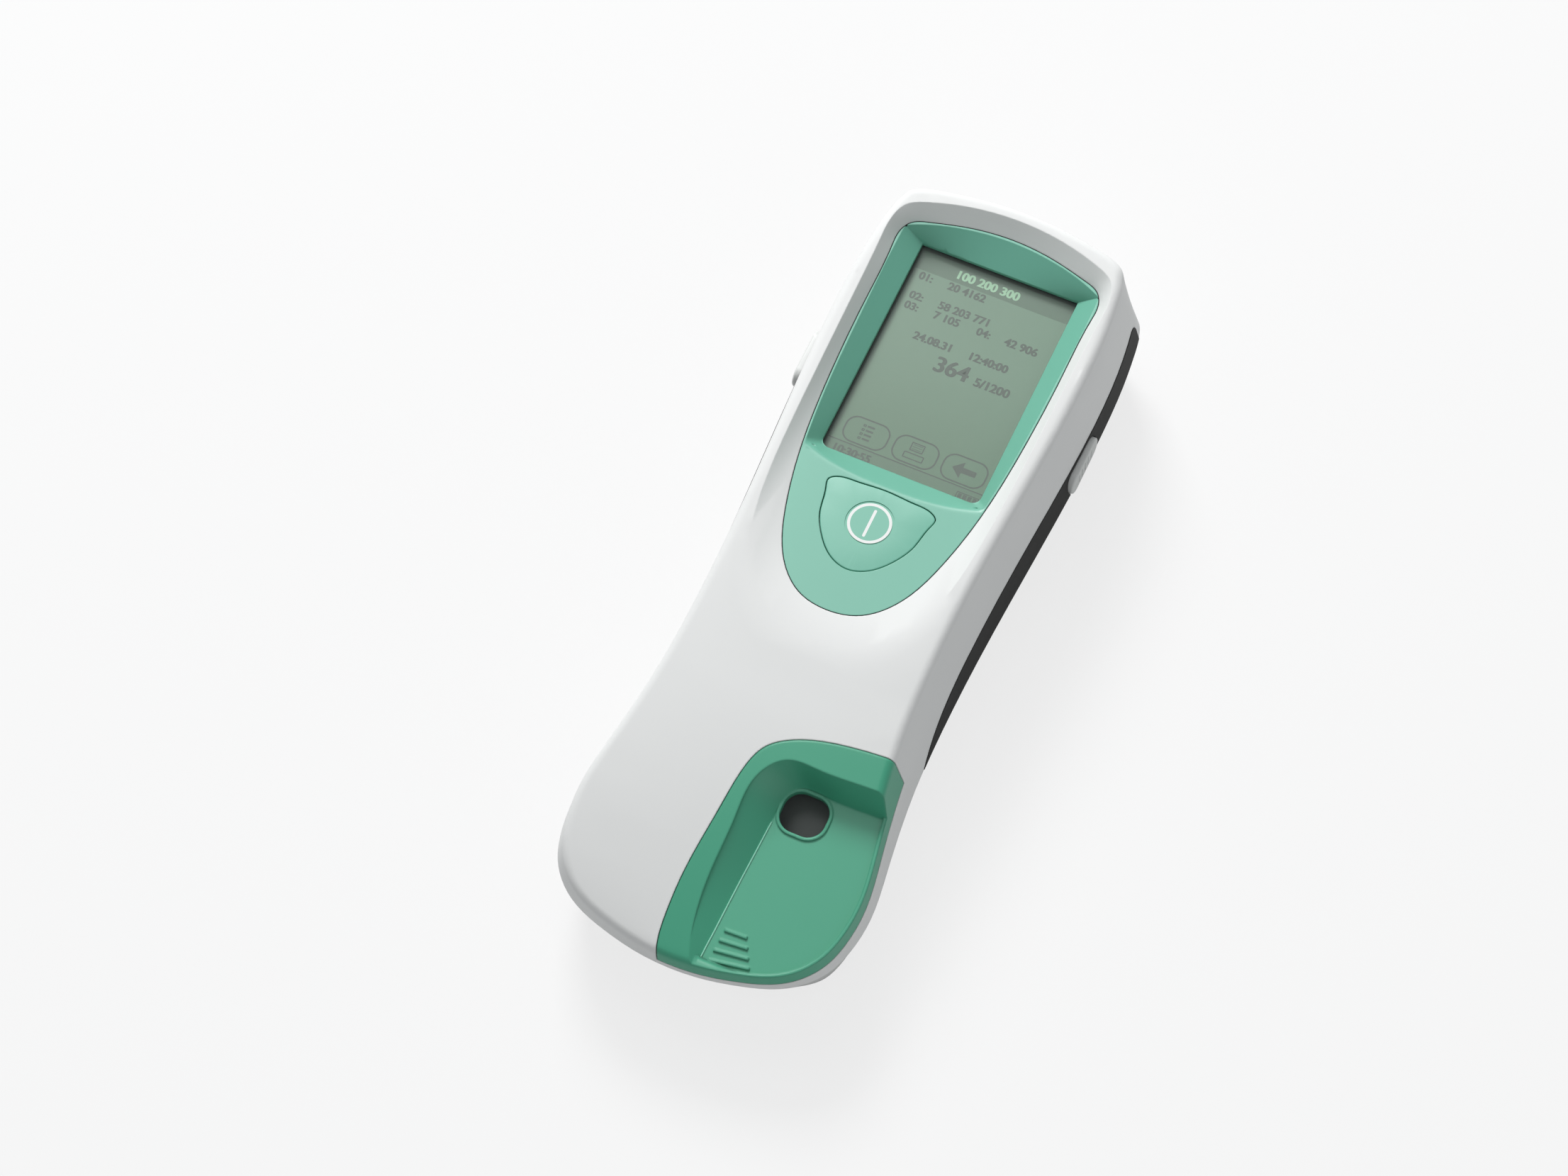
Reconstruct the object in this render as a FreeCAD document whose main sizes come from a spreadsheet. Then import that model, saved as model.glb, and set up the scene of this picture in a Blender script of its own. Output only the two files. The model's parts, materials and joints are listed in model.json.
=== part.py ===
import FreeCAD, Part
import math
import os
import Sketcher

V = FreeCAD.Vector
doc = FreeCAD.newDocument("rapid_test_reader")

# ---------------------------------------------------------------------------
# Driving dimensions, in millimetres (degrees where the name says so).
# Frame: X across, Y along (the display end is +Y), Z up out of the display,
# origin on the resting plane under the middle of the reader.
# ---------------------------------------------------------------------------
DRIVING = [
    # whole body
    ("body_length", 275.0), ("head_width", 98.4), ("neck_width", 89.6), ("foot_width", 101.4),
    ("body_top", 55.0), ("parting_level", 24.0), ("rear_level", 1.2), ("shell_wall", 2.4),
    ("side_lean", 7.4), ("end_lean", 0.5), ("corner_lean", 8.0), ("top_round", 3.2),
    ("rear_side_lean", 5.6), ("rear_head_lean", 5.0), ("rear_foot_lean", 11.0), ("rear_corner_lean", 5.0), ("rear_round", 4.5),
    ("slope_start", 30.0), ("slope_radius", 620.0),
    # display bezel, its dish and the window
    ("key_from_head", 122.5), ("bezel_level", 50.4), ("bezel_plate", 2.0), ("seam", 0.3),
    ("ledge", 1.4), ("window_width", 54.8), ("window_length", 80.8), ("window_from_key", 22.0),
    ("window_lip_level", 45.0), ("window_lip", 1.2), ("window_corner", 3.0),
    # display stack
    ("glass_margin", 2.6), ("touch_thick", 1.2), ("gasket_thick", 0.5), ("panel_thick", 3.7),
    ("frame_wall", 1.3), ("fit_gap", 0.1),
    # power key
    ("key_flange", 1.2), ("flange_thick", 1.2), ("stem_radius", 3.0),
    ("ring_radius", 6.64), ("mark_width", 0.95), ("mark_length", 10.2), ("mark_depth", 0.4),
    ("key_board_level", 40.8), ("small_board", 1.2), ("switch_height", 1.0), ("mat_height", 3.8),
    # application cover and its scoop
    ("hole_from_foot", 58.6), ("hole_side", 20.0), ("hole_width", 14.9), ("hole_length", 13.7),
    ("hole_corner", 5.6), ("floor_at_hole", 36.3), ("floor_slope_deg", 5.6), ("cover_wall", 2.0),
    ("cover_skirt", 4.0), ("skirt_relief", 0.5), ("scoop_lip", 1.0), ("scoop_rim", 1.2),
    ("rim_at_head", 46.9), ("rim_slope_deg", 12.1),
    ("tongue_reach", 2.4), ("tongue_drop", 1.0),
    # strip channel and optics
    ("strip_width", 21.0), ("bed_front_level", 18.4), ("bed_slope_deg", 11.0),
    ("bed_thick", 3.0), ("sensor_level", 9.0), ("heater_thick", 1.5),
    ("optics_height", 8.8), ("lens_radius", 5.0), ("lens_thick", 1.2),
    # main board
    ("board_level", 32.4), ("board_thick", 1.6), ("board_width", 66.0), ("board_head_gap", 13.5),
    ("board_foot_end", -19.7), ("post_radius", 2.7),
    # batteries
    ("cell_diameter", 14.5), ("cell_length", 50.5), ("cell_pitch", 15.0), ("cell_level", 4.6),
    ("bay_half", 31.0), ("bay_start", 47.6), ("bay_length", 57.0), ("bay_roof", 20.4), ("bay_wall", 1.8),
    ("rail_wall", 3.2), ("door_half", 31.5), ("door_start", 44.0), ("door_end_height", 16.0),
    ("slide_gap", 0.3), ("tongue_out", 1.4), ("tongue_thick", 1.0),
    # side grips and release buttons
    ("grip_depth", 1.2), ("grip_top_level", 33.0), ("latch_y", 72.8), ("latch_level", 26.6),
    ("latch_length", 21.0), ("latch_height", 8.6), ("latch_proud", 1.0),
    # code chip
    ("chip_y", -79.0), ("chip_level", 12.0), ("chip_width", 14.0), ("chip_thick", 5.0), ("chip_length", 25.0),
    # fasteners, feet and end openings
    ("boss_radius", 4.2), ("upper_boss_radius", 3.1), ("screw_radius", 1.5), ("screw_head_radius", 2.7),
    ("screw_head_thick", 2.0), ("screw_seat_level", 10.0), ("screw_reach", 8.0), ("small_screw_radius", 1.0),
    ("foot_pad_radius", 3.2), ("infrared_width", 22.0), ("infrared_height", 8.0), ("infrared_level", 39.0),
    ("socket_side", -27.5), ("socket_radius", 2.6), ("socket_height", 6.2),
    ("beeper_radius", 6.0), ("beeper_height", 4.0),
]

sheet = doc.addObject("Spreadsheet::Sheet", "Sizes")
for row, (alias, value) in enumerate(DRIVING, start=1):
    sheet.set("A%d" % row, alias)
    sheet.set("B%d" % row, "%g" % value)
    sheet.setAlias("B%d" % row, alias)
doc.recompute()


class Sizes:
    """Reads every driving dimension back from the sheet as a number."""

    def __getattr__(self, alias):
        return float(sheet.get(alias))


S = Sizes()
half_length = S.body_length / 2
key_y = half_length - S.key_from_head
hole_y = S.hole_from_foot - half_length
floor_fall = math.tan(math.radians(S.floor_slope_deg))
half_seam = S.seam / 2


# ---------------------------------------------------------------------------
# Geometry helpers
# ---------------------------------------------------------------------------
def half_curve(points, level=0.0, ends=(V(1, 0, 0), V(-1, 0, 0))):
    """A smooth curve through the points at one height, with set directions at its ends."""
    curve = Part.BSplineCurve()
    through = [V(x, y, level) for x, y in points]
    curve.interpolate(through, InitialTangent=ends[0], FinalTangent=ends[1], Scale=False)
    return curve


def normals(points, ends=(V(1, 0, 0), V(-1, 0, 0))):
    """Unit normals of the curve at its own points, outward where it runs clockwise."""
    curve = half_curve(points, 0.0, ends)
    result = []
    for x, y in points:
        tangent = curve.tangent(curve.parameter(V(x, y, 0)))[0]
        result.append((-tangent.y, tangent.x))
    return result


def grown(points, distance, ends=(V(1, 0, 0), V(-1, 0, 0))):
    """The outline moved outwards by a distance (inwards when negative)."""
    return [(x + distance * nx, y + distance * ny) for (x, y), (nx, ny) in zip(points, normals(points, ends))]


def wire(right_half, level):
    """A closed outline at one height: a right-hand half, from +Y round to -Y, and its mirror."""
    right = half_curve(right_half, level).toShape()
    left = half_curve([(-x, y) for x, y in reversed(right_half)], level, (V(-1, 0, 0), V(1, 0, 0))).toShape()
    return Part.Wire([right, left])


def prism(right_half, low, high):
    """A straight column over a mirrored outline."""
    return Part.Face(wire(right_half, low)).extrude(V(0, 0, high - low))


def loft(low_half, low, high_half, high):
    return Part.makeLoft([wire(low_half, low), wire(high_half, high)], True, True)


def block(x0, x1, y0, y1, z0, z1):
    return Part.makeBox(x1 - x0, y1 - y0, z1 - z0, V(x0, y0, z0))


def rod(radius, x, y, z0, z1):
    return Part.makeCylinder(radius, z1 - z0, V(x, y, z0))


def side_slab(points, x0, x1):
    """A polygon drawn in the YZ plane and given a thickness along X."""
    corners = [V(x0, y, z) for y, z in points]
    return Part.Face(Part.makePolygon(corners + corners[:1])).extrude(V(x1 - x0, 0, 0))


def rounded_block(width, length, corner, x, y, z0, z1):
    shape = block(x - width / 2, x + width / 2, y - length / 2, y + length / 2, z0, z1)
    upright = [e for e in shape.Edges if abs(e.Vertexes[0].Z - e.Vertexes[-1].Z) > 1e-6]
    return shape.makeFillet(corner, upright)


def fuse(shapes):
    return shapes[0].multiFuse(shapes[1:]).removeSplitter() if len(shapes) > 1 else shapes[0]


def both_sides(shape):
    return [shape, shape.mirror(V(0, 0, 0), V(1, 0, 0))]


def rounded(shape, radius, wanted):
    """Rounds the edges for which wanted(edge) is true."""
    edges = [e for e in shape.Edges if wanted(e)]
    return shape.makeFillet(radius, edges) if edges else shape


# ---------------------------------------------------------------------------
# Outlines
# ---------------------------------------------------------------------------
head_half = S.head_width / 2
neck_half = S.neck_width / 2
foot_half = S.foot_width / 2

BODY_PLAN = [
    (0, half_length), (12.8, half_length - 0.3), (25.0, half_length - 1.4), (34.0, half_length - 3.0),
    (head_half - 8.7, half_length - 4.9), (head_half - 4.8, half_length - 7.8),
    (head_half - 2.8, half_length - 12.9), (head_half - 1.6, half_length - 20.5),
    (head_half - 0.5, half_length - 32.0), (head_half, half_length - 46.0),
    (head_half - 1.0, half_length - 85.0), (neck_half + 0.6, 0), (neck_half, -28.0),
    (neck_half + 0.8, -54.0), (foot_half - 1.8, 56.0 - half_length), (foot_half, 39.0 - half_length),
    (foot_half - 1.4, 27.0 - half_length), (foot_half - 4.2, 19.0 - half_length),
    (foot_half - 8.2, 13.4 - half_length), (foot_half - 13.4, 9.0 - half_length),
    (31.0, 5.8 - half_length), (22.0, 3.0 - half_length), (12.0, 0.9 - half_length), (0, -half_length)]

BEZEL = [(x, key_y + dy) for x, dy in (
    (0, 112.6), (16.0, 110.9), (27.5, 107.9), (32.6, 105.6), (34.7, 102.0), (34.9, 95.0), (34.5, 73.0),
    (33.7, 45.0), (31.5, 19.0), (26.7, -5.0), (17.6, -24.8), (9.6, -31.2), (0, -33.1))]

DISH = [(x, key_y + dy) for x, dy in (
    (0, 117.5), (18.0, 115.6), (30.3, 112.0), (36.0, 108.8), (38.2, 103.0), (38.3, 94.0), (37.8, 73.0),
    (37.2, 45.0), (36.4, 19.0), (34.8, -5.0), (31.0, -30.0), (19.0, -56.0), (0, -68.0))]

KEY = [(x, key_y + dy) for x, dy in (
    (0, 12.6), (10.0, 12.0), (16.6, 11.0), (18.4, 9.5), (17.9, 6.0), (16.2, -2.1), (12.2, -9.8),
    (6.2, -15.7), (0, -17.6))]

# Left and head edges of the application cover, from the foot end up and across to the right.
COVER_EDGE = [(x, dy - half_length) for x, dy in (
    (2.5, -9.0), (-3.4, 0.5), (-5.4, 12.0), (-5.6, 24.0), (-4.7, 36.0), (-3.4, 48.0), (-1.7, 62.0),
    (1.6, 70.3), (8.2, 75.3), (16.0, 78.2), (25.0, 80.0), (36.0, 81.2), (64.0, 82.0))]


COVER_ENDS = (V(-0.55, 0.84, 0), V(1, 0.02, 0))

# ---------------------------------------------------------------------------
# Body volumes shared by the housings and everything that lies flush with them
# ---------------------------------------------------------------------------
def leaned(points, side, head, foot, corner=0.0):
    """The outline drawn in by its lean at the sides, the head end, the foot end and the head corners."""
    return [(x - side * nx, y - (head + corner * abs(nx) if ny > 0 else foot) * ny)
            for (x, y), (nx, ny) in zip(points, normals(points))]


def upper_volume(inset=0.0, with_round=True):
    """The space above the parting plane inside a skin of the given thickness."""
    above = S.body_top + 2.0
    plan = grown(BODY_PLAN, -inset)
    crest = leaned(plan, S.side_lean, S.end_lean, S.end_lean, S.corner_lean)
    walls = loft(plan, S.parting_level, crest, above)
    top = S.body_top - inset
    run = S.slope_start + half_length + 20.0
    drop = S.slope_radius - math.sqrt(S.slope_radius ** 2 - run ** 2)
    start, end = S.slope_start, S.slope_start - run
    angle = math.asin(run / S.slope_radius) / 2
    middle = V(0, start - S.slope_radius * math.sin(angle), top - S.slope_radius * (1 - math.cos(angle)))
    low = S.parting_level - 1.0
    corners = [V(0, end, low), V(0, half_length + 20.0, low), V(0, half_length + 20.0, top), V(0, start, top)]
    edges = [Part.LineSegment(a, b).toShape() for a, b in zip(corners, corners[1:])]
    edges.append(Part.Arc(corners[-1], middle, V(0, end, top - drop)).toShape())
    edges.append(Part.LineSegment(V(0, end, top - drop), corners[0]).toShape())
    side = Part.Face(Part.Wire(edges)).extrude(V(S.foot_width + 20.0, 0, 0))
    side.translate(V(-S.foot_width / 2 - 10.0, 0, 0))
    shape = walls.common(side)
    radius = max(S.top_round - inset, 1.0)
    if not with_round:
        return shape
    return rounded(shape, radius, lambda e: on_top_edge(e, inset))


def on_top_edge(edge, inset):
    """True for the edges where the walls meet the top skin."""
    middle = edge.valueAt((edge.FirstParameter + edge.LastParameter) / 2)
    if middle.z < S.parting_level + 1.0:
        return False
    across = abs(edge.Vertexes[0].X - edge.Vertexes[-1].X)
    level = abs(edge.Vertexes[0].Y - edge.Vertexes[-1].Y) < 1e-3 and across > 40.0
    straight = level and abs(middle.x) < 1.0 and abs(middle.y - edge.Vertexes[0].Y) < 1e-3
    return not straight


def rear_volume(inset=0.0):
    """The space below the parting plane inside a skin of the given thickness."""
    plan = grown(BODY_PLAN, -inset)
    bottom = S.rear_level + inset
    base = leaned(plan, S.rear_side_lean, S.rear_head_lean, S.rear_foot_lean, S.rear_corner_lean)
    shape = loft(base, bottom, plan, S.parting_level)
    radius = max(S.rear_round - inset, 1.0)
    return rounded(shape, radius, lambda e: all(abs(v.Z - bottom) < 1e-6 for v in e.Vertexes)
                   and abs(e.BoundBox.ZMax - bottom) < 1e-3)


upper_outer = upper_volume()
upper_inner = upper_volume(S.shell_wall)
rear_outer = rear_volume()
rear_inner = rear_volume(S.shell_wall)


# ---------------------------------------------------------------------------
# Document objects: bound primitives, sketched bodies and sculpted features
# ---------------------------------------------------------------------------
NODES = []


def keep(obj):
    NODES.append(obj)
    return obj


def bind(obj, **expressions):
    """Ties properties to sheet expressions; x, y and z are the placement."""
    for name, expression in expressions.items():
        target = ".Placement.Base." + name if name in ("x", "y", "z") else name
        obj.setExpression(target, expression)
    return obj


def box(name, length, width, height, x, y, z, node=True):
    """A Part::Box whose corner and sides are sheet expressions."""
    obj = doc.addObject("Part::Box", name)
    bind(obj, Length=length, Width=width, Height=height, x=x, y=y, z=z)
    return keep(obj) if node else obj


def cylinder(name, radius, height, x, y, z, node=True):
    obj = doc.addObject("Part::Cylinder", name)
    bind(obj, Radius=radius, Height=height, x=x, y=y, z=z)
    return keep(obj) if node else obj


def cut(name, base, tools, node=True):
    """base minus one or more tools, as a Part::Cut of a Part::MultiFuse."""
    obj = doc.addObject("Part::Cut", name)
    if len(tools) > 1:
        joined = doc.addObject("Part::MultiFuse", name + "_tools")
        joined.Shapes = tools
        tools = [joined]
    obj.Base, obj.Tool = base, tools[0]
    return keep(obj) if node else obj


def group(name, members):
    obj = doc.addObject("Part::Compound", name)
    obj.Links = members
    return keep(obj)


def sculpted(name, shape):
    """A piece whose surface follows the body's smooth outlines."""
    obj = doc.addObject("Part::Feature", name)
    obj.Shape = shape
    obj.Placement = shape.Placement
    return keep(obj)


def plane(body, role):
    return next(item for item in body.Origin.OriginFeatures if item.Role == role)


def add_rectangle(sketch, width, length, x="0", y="0"):
    """A rectangle centred on x, y; all four are expressions."""
    first = sketch.GeometryCount
    corners = [V(-1, -1, 0), V(1, -1, 0), V(1, 1, 0), V(-1, 1, 0)]
    for start, end in zip(corners, corners[1:] + corners[:1]):
        sketch.addGeometry(Part.LineSegment(start, end), False)
    bottom, right, top, left = range(first, first + 4)
    for one, other in ((bottom, right), (right, top), (top, left), (left, bottom)):
        sketch.addConstraint(Sketcher.Constraint("Coincident", one, 2, other, 1))
    for line in (bottom, top):
        sketch.addConstraint(Sketcher.Constraint("Horizontal", line))
    for line in (right, left):
        sketch.addConstraint(Sketcher.Constraint("Vertical", line))
    for kind, line, point, expression, guess in (
            ("DistanceX", bottom, 1, "%s - (%s) / 2" % (x, width), -1),
            ("DistanceY", bottom, 1, "%s - (%s) / 2" % (y, length), -1),
            ("DistanceX", right, 2, "%s + (%s) / 2" % (x, width), 1),
            ("DistanceY", right, 2, "%s + (%s) / 2" % (y, length), 1)):
        number = sketch.addConstraint(Sketcher.Constraint(kind, -1, 1, line, point, guess))
        sketch.setExpression("Constraints[%d]" % number, expression)


def add_circle(sketch, radius, x, y):
    circle = sketch.addGeometry(Part.Circle(V(5, 5, 0), V(0, 0, 1), 1.0), False)
    for kind, arguments, expression in (
            ("Radius", (circle, 1.0), radius), ("DistanceX", (-1, 1, circle, 3, 5.0), x),
            ("DistanceY", (-1, 1, circle, 3, 5.0), y)):
        number = sketch.addConstraint(Sketcher.Constraint(kind, *arguments))
        sketch.setExpression("Constraints[%d]" % number, expression)


def plate(name, width, length, thick, x, y, z, corner=None, windows=(), holes=()):
    """A sketched plate: pad, optional rounded corners, then one pocket of windows and holes."""
    body = doc.addObject("PartDesign::Body", name)
    outline = body.newObject("Sketcher::SketchObject", name + "_outline")
    outline.AttachmentSupport = (plane(body, "XY_Plane"), [""])
    outline.MapMode = "FlatFace"
    add_rectangle(outline, width, length)
    pad = body.newObject("PartDesign::Pad", name + "_pad")
    pad.Profile = outline
    pad.setExpression("Length", thick)
    bind(body, x=x, y=y, z=z)
    if corner:
        doc.recompute()
        upright = ["Edge%d" % (i + 1) for i, e in enumerate(pad.Shape.Edges)
                   if abs(e.Vertexes[0].Z - e.Vertexes[-1].Z) > 1e-6]
        fillet = body.newObject("PartDesign::Fillet", name + "_corners")
        fillet.Base = (pad, upright)
        fillet.setExpression("Radius", corner)
    if windows or holes:
        doc.recompute()
        solid_volume = body.Shape.Volume
        cuts = body.newObject("Sketcher::SketchObject", name + "_cuts")
        cuts.AttachmentSupport = (plane(body, "XY_Plane"), [""])
        cuts.MapMode = "FlatFace"
        for w, l, cx, cy in windows:
            add_rectangle(cuts, w, l, cx, cy)
        for radius, cx, cy in holes:
            add_circle(cuts, radius, cx, cy)
        pocket = body.newObject("PartDesign::Pocket", name + "_openings")
        pocket.Profile = cuts
        pocket.Type = "ThroughAll"
        pocket.Reversed = True
        doc.recompute()
        if body.Shape.Volume >= solid_volume:
            raise ValueError(name + ": the pocket removes nothing")
    return keep(body)


# Expressions used by more than one piece
HEAD_END = "Sizes.body_length / 2"
KEY_Y = "(Sizes.body_length / 2 - Sizes.key_from_head)"
HOLE_Y = "(Sizes.hole_from_foot - Sizes.body_length / 2)"
BOARD_TOP = "(Sizes.board_level + Sizes.board_thick)"


# ---------------------------------------------------------------------------
# Shells: the display dish, the bezel, the cover opening and the housings
# ---------------------------------------------------------------------------
window_low = key_y + S.window_from_key
window_high = window_low + S.window_length
window_half = S.window_width / 2


def ring_of(curves, level):
    """Edges through each list of points, at one height, in order round a closed outline."""
    edges = []
    for points in curves:
        if len(points) == 2:
            edges.append(Part.LineSegment(*[V(x, y, level) for x, y in points]).toShape())
        else:
            curve = Part.BSplineCurve()
            curve.interpolate([V(x, y, level) for x, y in points])
            edges.append(curve.toShape())
    return edges


def well(margin, low):
    """The sloping well from the bezel's rim down to the window; margin grows it all round."""
    x0, y0, y1 = window_half + margin, window_low - margin, window_high + margin
    floor = ring_of([[(-x0, y1), (x0, y1)], [(x0, y1), (x0, y0)], [(x0, y0), (-x0, y0)], [(-x0, y0), (-x0, y1)]],
                    low)
    side = [(x + margin, key_y + dy) for x, dy in (
        (34.0, 104.0 + margin), (34.2, 95.0), (33.8, 73.0), (33.0, 45.0), (30.8, 19.0 - margin))]
    arch = [(27.0, key_y + 107.1 + margin), (16.0, key_y + 110.1 + margin)]
    foot = [(20.0, key_y + 15.3 - margin)]
    left_side = [(-x, y) for x, y in reversed(side)]
    head_edge = ([left_side[-1]] + [(-x, y) for x, y in arch] + [(0, key_y + 111.7 + margin)]
                 + arch[::-1] + [side[0]])
    foot_edge = [side[-1]] + foot + [(0, key_y + 13.7 - margin)] + [(-x, y) for x, y in foot] + [left_side[0]]
    rim = ring_of([head_edge, side, foot_edge, left_side], S.bezel_level)
    slopes = [Part.makeRuledSurface(one, other) for one, other in zip(floor, rim)]
    lid, base = Part.Face(Part.Wire(rim)), Part.Face(Part.Wire(floor))
    solid = Part.makeSolid(Part.makeShell(slopes + [lid, base]))
    if solid.Volume < 0:
        solid.reverse()
    return solid.fuse(lid.extrude(V(0, 0, S.body_top - S.bezel_level)))


def window_hole(low, high):
    """The straight-walled window through the bezel's lip."""
    shape = block(-window_half, window_half, window_low, window_high, low, high)
    upright = [e for e in shape.Edges if abs(e.Vertexes[0].Z - e.Vertexes[-1].Z) > 1e-6]
    low_corners = [e for e in upright if e.Vertexes[0].Y < window_low + 1.0]
    return shape.makeFillet(S.window_corner, low_corners)


# Places of the fasteners, as sheet expressions
HOUSING_SCREWS = [
    ("Sizes.head_width / 2 - 11.4", HEAD_END + " - 45.5"), ("11.4 - Sizes.head_width / 2", HEAD_END + " - 45.5"),
    ("Sizes.neck_width / 2 - 8", KEY_Y + " - 7"), ("8 - Sizes.neck_width / 2", KEY_Y + " - 7"),
    ("Sizes.neck_width / 2 - 9.8", HOLE_Y + " + 33"), ("19.1 - Sizes.foot_width / 2", HOLE_Y + " - 29")]
BOARD_POSTS = [
    ("24", "Sizes.bay_start + 3"), ("-24", "Sizes.bay_start + 3"),
    ("24", "Sizes.bay_start + Sizes.bay_length - 5"), ("-24", "Sizes.bay_start + Sizes.bay_length - 5"),
    ("24", "Sizes.board_foot_end + 7.5"), ("-24", "Sizes.board_foot_end + 7.5")]
BED_Y = "(%s - 44)" % HOLE_Y
BED_W = "(Sizes.strip_width + 3)"
SENSOR_X, SENSOR_Y = "3.5", HOLE_Y + " - 7"
SENSOR_WIDTH, SENSOR_LENGTH = "61", "56"
SENSOR_POSTS = [(-22, 23), (-22, -23), (27, 23), (27, -23)]
KEY_BOARD_POSTS = [(17, -12), (-17, -12), (0, -23)]


def number(expression):
    """The value of a sheet expression."""
    return float(sheet.evalExpression(expression))


def tilted(shape, degrees, y, z):
    """Turns a shape made at the origin about X, then carries it to its place."""
    shape.rotate(V(0, 0, 0), V(1, 0, 0), degrees)
    shape.translate(V(0, y, z))
    return shape


# --- display bezel -------------------------------------------------------
lip_under = S.window_lip_level - S.window_lip
key_board_top = S.key_board_level + S.small_board
recess_floor = S.bezel_level - S.bezel_plate - S.fit_gap


def on_foot_slope(edge):
    """True for the brow over the window's foot end and the two creases running out of its corners."""
    middle = edge.valueAt((edge.FirstParameter + edge.LastParameter) / 2)
    brow = abs(middle.x) < 1 and abs(middle.y - key_y - 13.7) < 0.3 and abs(middle.z - S.bezel_level) < 0.01
    below = middle.z < S.bezel_level - 1 and middle.z > S.window_lip_level + 1
    return brow or (below and abs(middle.y - key_y - 20.5) < 0.5 and edge.Length < 12)


def make_bezel():
    plan = grown(BEZEL, -half_seam)
    shape = prism(plan, S.bezel_level - S.bezel_plate, S.bezel_level)
    within = prism(grown(BEZEL, -S.ledge - half_seam), lip_under, S.bezel_level)
    shape = shape.fuse(well(S.bezel_plate, lip_under).common(within))
    shape = shape.cut(well(0.0, S.window_lip_level))
    shape = shape.cut(window_hole(lip_under - 1.0, S.window_lip_level + 0.5))
    shape = rounded(shape, 3.0, on_foot_slope)
    for x, dy in KEY_BOARD_POSTS:
        shape = shape.fuse(rod(2.2, x, key_y + dy, key_board_top, S.bezel_level - S.bezel_plate / 2))
        shape = shape.cut(rod(S.small_screw_radius, x, key_y + dy, key_board_top - 1, key_board_top + 4.5))
    return shape.cut(prism(grown(KEY, half_seam), lip_under, S.bezel_level + 1))


sculpted("display_bezel", make_bezel())


# --- upper housing --------------------------------------------------------
def dish(margin, low):
    """The soft dish round the bezel; margin makes the volume of its wall."""
    above = S.body_top + 1.0
    spread = [(bx + (dx - bx) * (above - S.bezel_level) / (S.body_top - S.bezel_level),
               by + (dy - by) * (above - S.bezel_level) / (S.body_top - S.bezel_level))
              for (bx, by), (dx, dy) in zip(BEZEL, DISH)]
    return loft(grown(BEZEL, half_seam + margin), low, grown(spread, margin), above)


def cover_column(distance, low, high):
    """The column over the application cover's plan, reaching past the right and foot walls."""
    edge = grown(COVER_EDGE, distance, COVER_ENDS)
    far_x, far_y = edge[-1][0], edge[0][1] - 40.0
    curve = half_curve(edge, low, COVER_ENDS).toShape()
    corners = [(far_x, edge[-1][1]), (far_x, far_y), (edge[0][0], far_y), edge[0]]
    lines = [Part.LineSegment(V(x0, y0, low), V(x1, y1, low)).toShape()
             for (x0, y0), (x1, y1) in zip(corners, corners[1:])]
    return Part.Face(Part.Wire([curve] + lines)).extrude(V(0, 0, high - low))


def above_floor(offset):
    """Everything above the scoop's floor plane, moved by an offset."""
    return tilted(block(-80, 80, -90, 60, offset, offset + 80), S.floor_slope_deg, hole_y, S.floor_at_hole)


def grip_slab(sign, x0=36.0, x1=60.0):
    """The long tapering flank of a side grip, seen from the side, as a slab across one wall."""
    low, high = S.parting_level, S.grip_top_level
    head, neck = half_length - 13.0, key_y - 8.0
    tail = neck - 52.0
    a, b, c, d = V(x0, tail, low), V(x0, head, low), V(x0, head, high - 4), V(x0, head - 4, high)
    arc = Part.Arc(c, V(x0, head - 4 * (1 - math.sqrt(0.5)), high - 4 * (1 - math.sqrt(0.5))), d).toShape()
    taper = Part.BSplineCurve()
    taper.interpolate([d, V(x0, neck + 30, high), V(x0, neck - 12, high - 1.0), V(x0, tail + 8, low + 3.4), a])
    edges = [Part.LineSegment(a, b).toShape(), Part.LineSegment(b, c).toShape(), arc, taper.toShape()]
    slab = Part.Face(Part.Wire(edges)).extrude(V(x1 - x0, 0, 0))
    return slab if sign > 0 else slab.mirror(V(0, 0, 0), V(1, 0, 0))


def stadium(length, height, x0, x1, y, z):
    """A slot-shaped column lying along X."""
    r = height / 2
    half = length / 2 - r
    a, b, c, d = V(x0, y - half, z - r), V(x0, y + half, z - r), V(x0, y + half, z + r), V(x0, y - half, z + r)
    edges = [Part.LineSegment(a, b).toShape(), Part.Arc(b, V(x0, y + half + r, z), c).toShape(),
             Part.LineSegment(c, d).toShape(), Part.Arc(d, V(x0, y - half - r, z), a).toShape()]
    return Part.Face(Part.Wire(edges)).extrude(V(x1 - x0, 0, 0))


def latch_opening():
    slot = stadium(S.latch_length + 2 * S.slide_gap, S.latch_height + 2 * S.slide_gap, 40.0, 60.0,
                   S.latch_y, S.latch_level)
    return fuse(both_sides(slot))


def infrared_column(margin=0.0):
    w, h, z = S.infrared_width / 2 + margin, S.infrared_height / 2 + margin, S.infrared_level
    return block(-w, w, half_length - 20.0, half_length + 5.0, z - h, z + h)


SOCKET_Z = "(Sizes.board_level - Sizes.socket_height / 2)"
socket_z = number(SOCKET_Z)


def power_bore(radius, y0, y1):
    return Part.makeCylinder(radius, y1 - y0, V(S.socket_side, y0, socket_z), V(0, 1, 0))


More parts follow.
